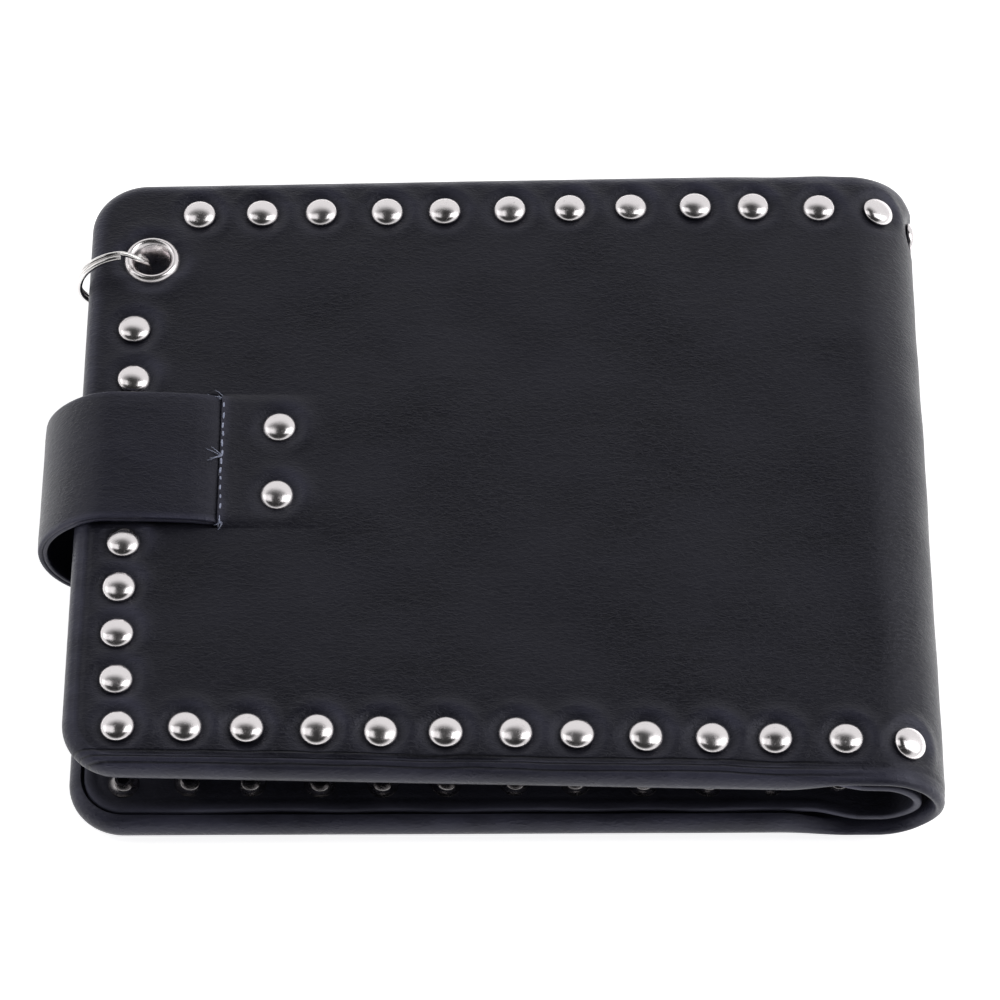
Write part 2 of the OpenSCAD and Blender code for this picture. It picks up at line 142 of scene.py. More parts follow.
def half_depth(x):
    """Half the depth of a half at x: it grows evenly towards the spine."""
    return HALF_DEPTH + SLOPE * x


def smooth(t):
    """0 below 0, 1 above 1, and the cubic 3tt - 2ttt between them."""
    t = np.clip(t, 0, 1)
    return t * t * (3 - 2 * t)


def bell(t):
    """e to the power of minus t squared."""
    return np.exp(-np.square(t))


def islands(node, axis):
    """Middles of the separate solids in a CAD node, in order along an axis, found at the gaps between their points."""
    mesh = frame["nodes"][node].data
    points = np.empty(len(mesh.vertices) * 3)
    mesh.vertices.foreach_get("co", points)
    points = points.reshape(-1, 3) / MM
    points = points[np.argsort(points[:, axis])]
    cuts = np.flatnonzero(np.diff(points[:, axis]) > ISLAND_GAP) + 1
    return np.array([(part.min(0) + part.max(0)) / 2 for part in np.split(points, cuts)])


ROWS = {row: islands(row + "_rivet_caps", 0) for row in ("front_near", "front_far", "back_near", "back_far")}
for row in ("front_edge", "back_edge", "strap", "spine_upper", "spine_lower"):
    ROWS[row] = islands(row + "_rivet_caps", 1)
ROWS["spine_side"] = islands("spine_side_rivet_cap", 1)
FRONT_RIVETS = np.concatenate([ROWS[r] for r in ("front_near", "front_far", "front_edge", "strap")])
BACK_RIVETS = np.concatenate([ROWS[r] for r in ("back_near", "back_far", "back_edge")])

# ---- meshes from grids ----

CELLS_PER_MM = 2e3


def spaced(*stops):
    """Positions from the first stop to the last, even between stops: position, step, position, step, position."""
    runs = []
    for low, step, high in zip(stops[:-2:2], stops[1:-1:2], stops[2::2]):
        count = max(1, math.ceil(abs(high - low) / step))
        runs.append(np.linspace(low, high, count, endpoint=False))
    return np.concatenate(runs + [[stops[-1]]])


def grid_faces(rows, columns, wrap_rows=False, wrap_columns=False):
    """Four-cornered faces between neighbours of a rows by columns grid of points."""
    i = np.arange(rows if wrap_rows else rows - 1)[:, None]
    j = np.arange(columns if wrap_columns else columns - 1)[None, :]
    i1, j1 = (i + 1) % rows, (j + 1) % columns
    corners = [i * columns + j, i1 * columns + j, i1 * columns + j1, i * columns + j1]
    return np.stack(np.broadcast_arrays(*corners), -1).reshape(-1, 4)


class Shape:
    """Points and faces gathered from grids; points at one place become one point, which closes seams and poles."""

    def __init__(self):
        self.points, self.faces, self.wear, self.count = [], [], [], 0

    def add(self, points, keep=None, wear=0.0, **wrap):
        """Adds a grid of points and its faces, or only the faces marked in keep."""
        points = np.asarray(points, float)
        faces = grid_faces(*points.shape[:2], **wrap)
        if keep is not None:
            faces = faces[keep.reshape(-1)]
        flat = points.reshape(-1, 3)
        wear = np.asarray(wear, float)
        self.faces.append(faces + self.count)
        self.points.append(flat)
        self.wear.append(np.broadcast_to(wear.reshape(-1) if wear.ndim else wear, len(flat)))
        self.count += len(flat)
        return self

    def object(self, name, material, slot=None, sharp=55):
        """Makes the mesh object, with its wear and painted light as an attribute and edges over sharp degrees kept
        sharp.
        """
        points = np.concatenate(self.points)
        wear = np.concatenate(self.wear)
        cells = np.round(points * CELLS_PER_MM).astype(np.int64)
        _, first, back = np.unique(cells, axis=0, return_index=True, return_inverse=True)
        faces = back.reshape(-1)[np.concatenate(self.faces)]
        same = faces == np.roll(faces, 1, axis=1)
        quads = faces[~same.any(1)]
        triangles = [list(dict.fromkeys(f)) for f in faces[same.sum(1) == 1].tolist()]
        mesh = bpy.data.meshes.new(name)
        mesh.from_pydata((points[first] * MM).tolist(), [], quads.tolist() + [t for t in triangles if len(t) == 3])
        edit = bmesh.new()
        edit.from_mesh(mesh)
        bmesh.ops.recalc_face_normals(edit, faces=edit.faces)
        edit.to_mesh(mesh)
        edit.free()
        mesh.attributes.new("wear", "FLOAT", "POINT").data.foreach_set("value", wear[first].astype(np.float32))
        mesh.shade_smooth()
        mesh.set_sharp_from_angle(angle=math.radians(sharp))
        mesh.materials.append(material)
        piece = bpy.data.objects.new(name, mesh)
        bpy.context.scene.collection.objects.link(piece)
        return piece


def lathe(profile, centre, axis=(0, 0, 1), segments=32, wobble=0.0):
    """Profile of (radius, height) turned about an axis: centre + r (cos a, sin a) across the axis + h along it."""
    profile = np.asarray(profile, float)
    axis = np.asarray(axis, float) / np.linalg.norm(axis)
    side = np.cross([0, 1, 0] if abs(axis[1]) < 0.9 else [1, 0, 0], axis)
    side /= np.linalg.norm(side)
    other = np.cross(axis, side)
    a = np.linspace(0, 2 * np.pi, segments, endpoint=False)[None, :, None]
    r, h = profile[:, 0, None, None], profile[:, 1, None, None]
    r = r * (1 + wobble * np.cos(2 * a))
    return np.asarray(centre) + r * (np.cos(a) * side + np.sin(a) * other) + h * axis


def tube(path, radius, segments):
    """Circle carried along a path: point + r (cos a times the normal + sin a times the binormal), ends drawn in."""
    path = np.asarray(path, float)
    along = np.gradient(path, axis=0)
    along /= np.linalg.norm(along, axis=1, keepdims=True)
    up = np.array([0.13, 0.21, 0.97])
    side = np.cross(along, up)
    side /= np.linalg.norm(side, axis=1, keepdims=True)
    over = np.cross(side, along)
    a = np.linspace(0, 2 * np.pi, segments, endpoint=False)[None, :, None]
    radius = np.broadcast_to(radius, len(path))[:, None, None]
    rings = path[:, None] + radius * (np.cos(a) * side[:, None] + np.sin(a) * over[:, None])
    first, last = np.repeat(path[:1, None], segments, 1), np.repeat(path[-1:, None], segments, 1)
    return np.concatenate([first - 0.4 * radius[:1] * along[0], rings, last + 0.4 * radius[-1:] * along[-1]])


# ---- materials ----


class Finish:
    """A material with a Principled shader, and short ways to add nodes before it."""

    def __init__(self, name, **values):
        self.material = bpy.data.materials.new(name)
        self.material.use_nodes = True
        self.tree = self.material.node_tree
        self.shader = self.tree.nodes["Principled BSDF"]
        for socket, value in values.items():
            self.shader.inputs[socket.replace("_", " ")].default_value = value
        self.place = self.node("ShaderNodeTexCoord").outputs["Object"]
        self.normal = None

    def node(self, kind, inputs=None, **settings):
        made = self.tree.nodes.new(kind)
        for key, value in settings.items():
            setattr(made, key, value)
        for key, value in (inputs or {}).items():
            if isinstance(value, bpy.types.NodeSocket):
                self.tree.links.new(value, made.inputs[key])
            else:
                made.inputs[key].default_value = value
        return made

    def stretched(self, scale, turn=0.0):
        """Object coordinates scaled to repeats per metre on each axis."""
        inputs = {"Vector": self.place, "Scale": scale, "Rotation": (0, 0, turn)}
        return self.node("ShaderNodeMapping", inputs).outputs[0]

    def noise(self, vector, detail=3.0, rough=0.55, twist=0.0):
        """Cloudy noise between 0 and 1, most of it near a half."""
        inputs = {"Vector": vector, "Scale": 1.0, "Detail": detail, "Roughness": rough, "Distortion": twist}
        return self.node("ShaderNodeTexNoise", inputs).outputs["Fac"]

    def ramp(self, value, low, high, bottom=0.0, top=1.0):
        """Value spread from low..high onto bottom..top, held at both ends."""
        return self.node("ShaderNodeMapRange", {0: value, 1: low, 2: high, 3: bottom, 4: top}).outputs[0]

    def math(self, operation, a, b):
        return self.node("ShaderNodeMath", {0: a, 1: b}, operation=operation).outputs[0]

    def mix(self, factor, a, b):
        made = self.node("ShaderNodeMix", data_type="RGBA")
        for socket, value in zip((made.inputs[0], made.inputs[6], made.inputs[7]), (factor, a, b)):
            if isinstance(value, bpy.types.NodeSocket):
                self.tree.links.new(value, socket)
            else:
                socket.default_value = value
        return made.outputs[2]

    def bump(self, height, depth_mm, strength=1.0):
        """Adds a relief, depth_mm deep, over those added before it."""
        inputs = {"Height": height, "Distance": depth_mm * MM, "Strength": strength}
        if self.normal is not None:
            inputs["Normal"] = self.normal
        self.normal = self.node("ShaderNodeBump", inputs).outputs[0]

    def finish(self, color, roughness=None):
        for socket, value in (("Base Color", color), ("Roughness", roughness), ("Normal", self.normal)):
            if value is not None:
                self.tree.links.new(value, self.shader.inputs[socket])
        return self.material


MATERIALS = {}


def material(name):
    """A finish by name, made once."""
    if name not in MATERIALS:
        make, *values = FINISHES[name]
        MATERIALS[name] = make(*values)
    return MATERIALS[name]


def shade(color, factor=1.0):
    """A colour times a factor, with full alpha."""
    return (*[factor * c for c in color], 1)


def edge_creases(f):
    """Hairline creases along the front's near edge, faded out towards the spine.

    Each is a dip where the distance from the edge, which drifts a little, comes near its line. The mask returned is 0
    on the lines, where leather() paints shade into the creases.
    """
    place = f.node("ShaderNodeSeparateXYZ", {"Vector": f.place}).outputs
    edge = f.math("ADD", f.math("MULTIPLY", place["X"], SLOPE / MM), f.math("MULTIPLY", place["Y"], 1 / MM))
    drift = f.ramp(f.noise(f.stretched((40, 1, 40)), 2.0), 0.2, 0.8, HALF_DEPTH - 0.5, HALF_DEPTH + 0.5)
    edge = f.math("ADD", edge, drift)
    on_back = f.ramp(place["Z"], MID_Z * MM, (MID_Z - 2) * MM)
    elsewhere = f.math("MAXIMUM", on_back, f.ramp(place["X"], (SPINE_X - 16) * MM, SPINE_X * MM))
    clear_of_painted_crease_shade = 1.0
    for line, width in ((1.2, 0.26), (2.1, 0.2), (3.0, 0.24)):
        dip = f.ramp(f.math("ABSOLUTE", f.math("SUBTRACT", edge, line), 0.0), 0.0, width)
        dip = f.math("MAXIMUM", dip, elsewhere)
        f.bump(dip, 0.12)
        clear_of_painted_crease_shade = f.math("MULTIPLY", dip, clear_of_painted_crease_shade)
    return clear_of_painted_crease_shade


def leather(name, setting, gloss, crease=1.0, creased=False):
    """Coated leather: short wavy creases across the depth, fine grain, cloudy tone, paler where worn and where sheen
    and highlights are painted, with painted shade in the near-edge creases when creased.
    """
    color = getattr(bpy.context.scene.wallet_leather, setting)
    f = Finish(name, Specular_IOR_Level=0.37, IOR=1.48, Specular_Tint=(0.86, 0.86, 1.0, 1))
    creases = f.noise(f.stretched((1000, 2300, 1000)), 3.0, 0.6, 0.9)
    creases = f.ramp(creases, 0.42, 0.66)
    folds = f.noise(f.stretched((75, 240, 75), 0.12), 3.0, 0.5, 0.6)
    cells = {"Vector": f.stretched((2600, 3400, 2600)), "Scale": 1.0}
    grain = f.node("ShaderNodeTexVoronoi", cells, feature="SMOOTH_F1")
    cloud = f.noise(f.stretched((55, 80, 60)), 2.0, 0.5)
    wear = f.node("ShaderNodeAttribute", attribute_name="wear").outputs["Fac"]
    f.bump(folds, 0.1 * crease, 0.5)
    f.bump(creases, 0.04 * crease, 0.8)
    f.bump(grain.outputs["Distance"], 0.022, 0.7)
    if creased:
        clear_of_painted_crease_shade = edge_creases(f)
    light = shade(color, 1.7)
    # Bluish pale tone for rubbed wear, painted sheen and painted highlights.
    pale_wear_and_sheen = (*[min(1, 2.1 * c + glow) for c, glow in zip(color, (0.03, 0.03, 0.046))], 1)
    tone = f.mix(f.ramp(cloud, 0.35, 0.65), shade(color, 0.72), light)
    tone = f.mix(f.ramp(creases, 0.0, 1.0, 0.0, 0.8), tone, light)
    tone = f.mix(f.math("MULTIPLY", wear, f.ramp(folds, 0.3, 0.6, 0.35, 1.0)), tone, pale_wear_and_sheen)
    # Painted shade: the near-edge crease lines are darkened to 0.3 of the leather colour.
    if creased:
        tone = f.mix(clear_of_painted_crease_shade, shade(color, 0.3), tone)
    rough = f.math("ADD", f.ramp(cloud, 0.3, 0.7, gloss - 0.05, gloss + 0.06), f.ramp(creases, 0, 1, 0.05, -0.02))
    return f.finish(tone, rough)


def nickel(name, setting, gloss):
    """Plated metal: cloudy polish with fine scratches and small dull specks, darkened with painted shade where the mesh
    is marked (the rivet backs).
    """
    color = getattr(bpy.context.scene.wallet_metal, setting)
    f = Finish(name, Metallic=1.0)
    cloud = f.noise(f.stretched((500, 500, 500)), 3.0)
    scratch = f.noise(f.stretched((5200, 700, 5200), 0.6), 2.0)
    speck = f.ramp(f.noise(f.stretched((1500, 1500, 1500)), 4.0, 0.7), 0.6, 0.72)
    f.bump(cloud, 0.035, 0.5)
    f.bump(scratch, 0.004, 0.5)
    tone = f.mix(f.math("MULTIPLY", speck, 0.45), shade(color), shade(color, 0.62))
    painted_shade = f.node("ShaderNodeAttribute", attribute_name="wear").outputs["Fac"]
    # Painted shade: marked parts are darkened towards 0.3 of the metal colour.
    tone = f.mix(f.math("MULTIPLY", painted_shade, 0.9), tone, shade(color, 0.3))
    rough = f.math("ADD", f.ramp(cloud, 0.3, 0.7, gloss - 0.04, gloss + 0.05), f.math("MULTIPLY", speck, 0.18))
    return f.finish(tone, rough)


def thread_finish():
    """Spun thread: pale blue-grey with fine twist lines and fibre mottling."""
    f = Finish("fuzzy_thread", Roughness=0.9, Sheen_Weight=0.4)
    twist = f.noise(f.stretched((2500, 9000, 2500), 0.7), 2.0)
    fibre = f.noise(f.stretched((6000, 6000, 6000)), 3.0)
    f.bump(twist, 0.05, 0.8)
    return f.finish(f.mix(f.ramp(fibre, 0.3, 0.7), (0.16, 0.18, 0.3, 1), (0.58, 0.62, 0.78, 1)))


def film_finish():
    """Clear soft film: thin, a little cloudy, with shallow ripples."""
    f = Finish("window_film", Alpha=0.28, IOR=1.45)
    ripple = f.noise(f.stretched((60, 90, 60)), 2.0)
    f.bump(ripple, 0.05, 0.4)
    f.material.surface_render_method = "BLENDED"
    tone = f.mix(ripple, (0.62, 0.66, 0.7, 1), (0.7, 0.73, 0.77, 1))
    return f.finish(tone, f.ramp(ripple, 0.3, 0.7, 0.1, 0.16))


def floor_finish():
    """Smooth pale sweep that glows a little, with the faintest mottling."""
    f = Finish("pale_sweep", Roughness=0.9, Specular_IOR_Level=0.1, Emission_Color=(1, 1, 1, 1), Emission_Strength=0.8)
    cloud = f.noise(f.stretched((3, 3, 3)), 2.0)
    color = bpy.context.scene.wallet_studio.floor_color
    return f.finish(f.mix(cloud, shade(color, 0.99), shade(color)))


FINISHES = {
    "cover": (leather, "cover_leather", "cover_color", 0.31, 1.0, True),
    "strap": (leather, "strap_leather", "strap_color", 0.29, 0.8),
    "pocket": (leather, "pocket_leather", "pocket_color", 0.42, 0.6),
    "lining": (leather, "lining_sheet", "lining_color", 0.5, 0.6),
    "rivet": (nickel, "rivet_nickel", "rivet_color", 0.22),
    "eyelet": (nickel, "eyelet_nickel", "rivet_color", 0.22),
    "ring": (nickel, "ring_steel", "ring_color", 0.16),
    "snap": (nickel, "snap_nickel", "rivet_color", 0.2),
    "thread": (thread_finish,),
    "film": (film_finish,),
    "floor": (floor_finish,),
}

# ---- leather shapes ----

ARC = SPINE_R * math.pi / 2


def unrolled(rows, side):
    """Rivets of one half and its part of the spine: (distance along the leather from the spine's middle, y)."""
    found = []
    for x, y, z in np.concatenate([ROWS[r] for r in rows]):
        turn = math.atan2(abs(z - MID_Z), x - SPINE_X) if x > SPINE_X else math.pi / 2
        found.append((side * (SPINE_R * turn + max(0.0, SPINE_X - x)), y))
    return found


SIDE_X, SIDE_Y, SIDE_Z = ROWS["spine_side"][0]
SIDE_RIVET = [(SPINE_R * math.atan2(SIDE_Z - MID_Z, SIDE_X - SPINE_X), SIDE_Y)]
PLACES = np.array(unrolled(("front_near", "front_far", "front_edge", "strap", "spine_upper"), 1)
                  + unrolled(("back_near", "back_far", "back_edge", "spine_lower"), -1) + SIDE_RIVET)


def waves(u, v, seed, short=9.0, long=40.0, count=11):
    """Slow rise and fall between -1 and 1: the mean of crossed sine waves of mixed length, weighted by length."""
    rng = np.random.default_rng(seed)
    total, weight = 0.0, 0.0
    for _ in range(count):
        turn, length, phase = rng.uniform(0, np.pi), rng.uniform(short, long), rng.uniform(0, 2 * np.pi)
        total = total + length * np.sin((u * math.cos(turn) + v * math.sin(turn)) * 2 * np.pi / length + phase)
        weight += length
    return total / weight * 2


def relief(u, y, edge, side):
    """Height of the outer leather over its plain shape, and its paler marks: rubbed wear and painted highlights.

    The height is slow waves, a swell away from the edges, a dent round each rivet and two creases along the near edge.
    u runs along the leather (x on the flat), edge is the distance from the outline.
    """
    look = bpy.context.scene.wallet_leather
    s = side * (SPINE_X + ARC - u)
    over = smooth((u - SPINE_X + 2) / 8)
    swell = (1 - over) * waves(u, y, 11 + side) + over * waves(s, y, 5)
    height = look.wave_height / MM * swell * (0.25 + 0.75 * smooth(edge / 8))
    height = height + 0.2 * smooth(edge / 16) * (1 - over)
    # Paler rim: partly rubbed wear, partly painted sheen.
    wear = 0.85 * bell((edge - 1.0) / 1.1) + 0.08
    depth = look.dent_depth / MM
    for place, across in PLACES:
        if side * place < -8:
            continue
        r = np.hypot(s - place, y - across)
        turn = np.cos(np.arctan2(y - across, side * (place - s)) - 0.9)
        height = height - depth * bell((r - 2.4) / 1.0) + depth * (0.42 + 0.45 * turn) * bell((r - 4.4) / 1.1)
        # Painted highlight on the slope round each dent, strongest towards the upper right.
        wear = wear + (0.2 + 0.7 * np.maximum(turn, 0) ** 2) * bell((r - 3.9) / 0.9)
    for line, deep, seed in ((1.5, 0.26, 21), (2.5, 0.34, 22)):
        near = smooth(-y / 10) * (0.75 + 0.45 * waves(u, 0 * y, seed, 14, 60))
        place = edge - line - 0.25 * waves(u, 0 * y, seed + 4, 12, 50)
        height = height - deep * near * bell(place / 0.34)
        # Painted highlight: a pale line beside each crease.
        wear = wear + 0.7 * near * bell((place + 0.45) / 0.3)
    return height, np.clip(wear, 0, 1)


def sag(points):
    """Settles the leather: the far corner at the spine hangs, most at the top, and the back's near edge lies askew."""
    x, y, z = np.moveaxis(points, -1, 0)
    high = np.clip((z - BACK_Z) / (TOP_Z - BACK_Z), 0, 1)
    drop = 1.7 * smooth((x - 34) / 34) * smooth((y - 22) / 26) * high
    askew = 3.1 * np.clip((x - EDGE_X) / (SPINE_X - EDGE_X), 0, 1) - 1.6
    askew = askew * smooth(-y / 45) * smooth(1.25 - 1.7 * high)
    return np.stack([x, y + askew, z - drop], -1)


def turned(points):
    """Front half shape laid on the back half: z becomes 2 mid - z."""
    return points * [1, 1, -1] + [0, 0, 2 * MID_Z]


def settled(points, side):
    """A shape made for the front half, laid on its own half and settled."""
    return sag(points if side > 0 else turned(points))


def round_plan(xs, ys, low, high, corner, roll, open_end):
    """Grid over a rectangle with round corners, and the roll over its edge.

    Past the core (the outline drawn in by roll) xs and ys run on as arc length round the edge. In a corner a point
    (a, b) from the corner's centre goes to radius max(a, b) at an angle that grows evenly with a/b or b/a.
    Returns x, y, distance from the outline, and the roll's angle.
    """
    x, y = np.meshgrid(xs, ys, indexing="ij")
    middle_y, half_y = (low[1] + high[1]) / 2, (high[1] - low[1]) / 2
    left, right = low[0] + corner - x, x - (high[0] - corner)
    if open_end:
        right = np.full_like(x, -1e3)
    way = np.where(left > right, -1.0, 1.0)
    a, b = np.maximum(left, right), np.abs(y - middle_y) - (half_y - corner)
    m = np.maximum(a, b)
    with np.errstate(divide="ignore", invalid="ignore"):
        theta = np.where(a >= b, np.pi / 4 * b / a, np.pi / 2 - np.pi / 4 * a / b)
    theta = np.where(b <= 0, 0, np.where(a <= 0, np.pi / 2, theta))
    core = corner - roll
    q = np.clip(m - core, 0, roll * np.pi / 2)
    rho = np.minimum(m, core) + roll * np.sin(q / roll)
    base_x = np.where(way < 0, low[0] + corner, high[0] - corner)
    new_x = np.where(a > 0, base_x + way * np.where(m > 0, rho, 0) * np.where(b > 0, np.cos(theta), 1), x)
    new_y = np.where(b > 0, half_y - corner + rho * np.where(a > 0, np.sin(theta), 1), np.abs(y - middle_y))
    return new_x, middle_y + np.sign(y - middle_y) * new_y, corner - rho, q / roll


def beyond(core, roll, count, way):
    """Positions past a core's edge at even steps of arc length, furthest first for way -1."""
    steps = core + way * roll * np.pi / 2 * np.arange(1, count + 1) / count
    return steps[::-1] if way < 0 else steps


def half_grid(xs, ys, inset, roll, layers, end):
    """round_plan for a half, whose sides follow half_depth(x) and whose spine end is open."""
    depth = half_depth(EDGE_X + CORNER_R) - inset
    xs = np.concatenate([beyond(EDGE_X + inset + roll, roll, layers, -1), xs])
    ys = np.concatenate([beyond(roll - depth, roll, layers, -1), ys, beyond(depth - roll, roll, layers, 1)])
    x, y, edge, phi = round_plan(xs, ys, (EDGE_X + inset, -depth), (end, depth), CORNER_R - inset, roll, True)
    share = np.clip(np.abs(y) / (depth - CORNER_R + inset), 0, 1)
    y = y + np.sign(y) * share * (half_depth(np.maximum(x, EDGE_X + CORNER_R)) - half_depth(EDGE_X + CORNER_R))
    return x, y, edge, phi, xs, ys


def cover_thickness(x):
    """Padded thickness of a cover: even, then thinner over the last centimetre before the spine."""
    return PANEL_T - (PANEL_T - SPINE_T) * smooth((x - SPINE_X + 14) / 10)


def opening_ring(xs, ys, low, high, keep):
    """Takes the cells between two corners out of keep, and gives the grid places round them in order."""
    i0, i1 = np.argmin(abs(xs - low[0])), np.argmin(abs(xs - high[0]))
    j0, j1 = np.argmin(abs(ys - low[1])), np.argmin(abs(ys - high[1]))
    keep[i0:i1, j0:j1] = False
    ring = [(i, j0) for i in range(i0, i1)] + [(i1, j) for j in range(j0, j1)]
    return ring + [(i, j1) for i in range(i1, i0, -1)] + [(i0, j) for j in range(j1, j0, -1)]


EYELET_HOLE = 2.8
SLIT_HALF = STRAP_W / 2 + 0.5


def front_marks(x, y, height, wear):
    """Marks of the eyelet and the strap on the front cover.

    The grid is drawn from a square into a circle round the eyelet's hole, where the leather dips and swells. Past the
    slit the leather is lifted by the strap under it, and before the slit it dips.
    """
    dx, dy = x - EYELET[0], y - EYELET[1]
    m, d = np.maximum(abs(dx), abs(dy)), np.maximum(np.hypot(dx, dy), 1e-9)
    pull = 1 + smooth((6.0 - m) / (6.0 - EYELET_HOLE)) * (m / d - 1)
    across = smooth((SLIT_HALF - np.abs(y)) / 0.4 + 0.5)
    x, y = EYELET[0] + dx * pull, EYELET[1] + dy * pull
    height = height - 0.35 * bell((d - 4.1) / 1.0) + 0.16 * bell((d - 6.2) / 1.3)
    wear = np.clip(wear + 0.5 * bell((d - 5.6) / 0.9), 0, 1)
    past = x - SLIT_X
    lip = np.where(past > 0, (1.0 + 0.06 * waves(y, 0 * y, 31, 5, 12)) * np.exp(-np.maximum(past, 0) / 3.2), 0)
    dip = np.where(past < 0, -1.0 * np.exp(np.minimum(past, 0) / 1.5), 0)
    root = 0.15 * smooth((ROOT_X + 1.5 - x) / 4) * smooth(past / 3 + 0.4)
    height = height * np.where(past < 0, 1 - across, 1) + across * (lip + dip + root)
    return x, y, height, np.clip(wear + across * 0.8 * bell((past - 0.4) / 0.7), 0, 1)


def strap_hollow(x, y, outer, inner):
    """The back cover's outer face, pressed in by the strap that lies round its edge and under it."""
    along = BEND[1] - np.sqrt(np.maximum(9.3 ** 2 - np.minimum(x - BEND[0], 0) ** 2, 0))
    press = np.where(x < BEND[0], along, along + (TAIL_Z + STRAP_T + 0.2 - along) * smooth((x - BEND[0]) / 6))
    ends = smooth((SLIT_HALF - np.hypot(np.maximum(x - SNAP_X, 0), y)) / 0.5)
    pressed = np.where(ends > 0, outer + ends * np.minimum(0, 2 * MID_Z - press - outer), outer)
    return np.maximum(np.minimum(outer, pressed), inner + 0.02)


def cover_shape(side):
    """One padded cover: an outer and an inner sheet over one plan, joined at the rolled edge and the spine end."""
    roll = PANEL_T / 2
    reach = half_depth(EDGE_X + CORNER_R) - roll
    front = side > 0
    hole_low, hole_high = EYELET[:2] - EYELET_HOLE, EYELET[:2] + EYELET_HOLE
    xs = spaced(EDGE_X + roll, 0.34, EDGE_X + roll + 3, 0.5, hole_low[0], 0.56, hole_high[0], 0.55, SLIT_X - 0.04, 0.08,
                SLIT_X + 0.04, 0.5, SLIT_X + 3, 0.6, SEAM_X)
    ys = spaced(-reach, 0.34, -reach + 3.4, 0.46, -reach + 12.5, 1.0, -SLIT_HALF - 0.3, 0.3, -SLIT_HALF, 1.0,
                SLIT_HALF, 0.3, SLIT_HALF + 0.3, 1.0, hole_low[1], 0.56, hole_high[1], 0.46, reach - 3.4, 0.34, reach)
    x, y, edge, phi, xs, ys = half_grid(xs, ys, 0, roll, EDGE_LAYERS, SEAM_X)
    height, wear = relief(x, y, edge, side)
    if front:
        x, y, height, wear = front_marks(x, y, height, wear)
    thick = cover_thickness(x)
    fade = np.cos(phi)
    outer = TOP_Z - thick / 2 * (1 - fade) + height * fade
    recess = 1.15 * smooth((edge - 1.8) / 0.4) * smooth((thick - SPINE_T) / 2) + 0.06 * waves(x, y, 41 + side) * fade
    inner = TOP_Z - thick + thick / 2 * (1 - fade) + recess * fade
    if not front:
        outer = strap_hollow(x, y, outer, inner)
    shape = Shape()
    keep = np.ones((len(xs) - 1, len(ys) - 1), bool)
    sheets = [settled(np.stack([x, y, z], -1), side) for z in (outer, inner)]
    if front:
        ring = opening_ring(xs, ys, hole_low, hole_high, keep)
        wall = np.array([[sheet[place] for place in ring] for sheet in sheets])
    for sheet in sheets:
        shape.add(sheet, keep=keep, wear=wear)
    shape.add(np.stack([sheets[0][-1], sheets[1][-1]]), wear=0.1)
    if front:
        shape.add(wall, wrap_columns=True)
    return shape


def spine_sheet(us, radius, thick, depth, roll, side, height_of):
    """A strip of leather over the spine: an outline (y, n) carried along the half and round the spine's arc.

    n is the height over radius, so it is negative inside the leather. A point lies at u, or at the spine's centre once
    u is past it, plus (radius + n) times a direction that turns from up to outwards as u runs to the spine's middle.
    """
    turns = np.pi / 2 - np.maximum(us - SPINE_X, 0) / SPINE_R
    end = np.linspace(0, np.pi, 13)[1:-1]
    span = spaced(-1, 0.0075, -0.78, 0.022, 0.78, 0.0075, 1)
    rows, wear_and_painted_light_rows = [], []
    for u, x0, cx, cz in zip(us, np.minimum(us, SPINE_X), np.cos(turns), np.sin(turns)):
        core = depth(min(u, SPINE_X)) - roll
        flat = span * core
        y = np.concatenate([flat, core + roll * np.sin(end), flat[::-1], -core - roll * np.sin(end)])
        n = np.concatenate([0 * flat, -thick / 2 * (1 - np.cos(end)), 0 * flat - thick, -thick / 2 * (1 + np.cos(end))])
        phi = np.concatenate([0 * flat, end, 0 * flat + np.pi, np.pi + end])
        edge = core + roll - np.abs(y)
        rise, wear = height_of(np.full_like(y, u), y, edge, side)
        n = n + np.where(n > -thick / 2, rise * np.maximum(np.cos(phi), 0), 0)
        rows.append(np.stack([x0 + (radius + n) * cx, y, MID_Z + (radius + n) * cz], -1))
        wear_and_painted_light_rows.append(wear)
    return settled(np.array(rows), side), np.array(wear_and_painted_light_rows)


def closed_strip(points, wear=0.2):
    """A tube of outlines with both ends closed by a fan to its middle."""
    shape = Shape()
    shape.add(points, wear=wear, wrap_columns=True)
    for end in (points[0], points[-1]):
        half = len(end) // 2
        shape.add(np.stack([end[:half], end[::-1][:half]]), wear=0.1)
    return shape


# ---- leaves and linings ----


def lining_relief(x, y, edge, seed, rivets):
    """Low waves, a rubbed rim and a dimple under each rivet back."""
    height = 0.1 * waves(x, y, seed) + 0.08 * bell((edge - 1.1) / 0.5) - 0.1 * bell((edge - 2.0) / 0.35)
    for px, py, _ in rivets:
        height = height - 0.1 * bell((np.hypot(x - px, y - py) - 1.9) / 0.8)
    return height


def lining_inset(x):
    """How far the lining stays inside the cover's near and far edges: less where the cover is thin at the spine."""
    return LINING_INSET - 1.3 * smooth((x - SPINE_X + 10) / 8)


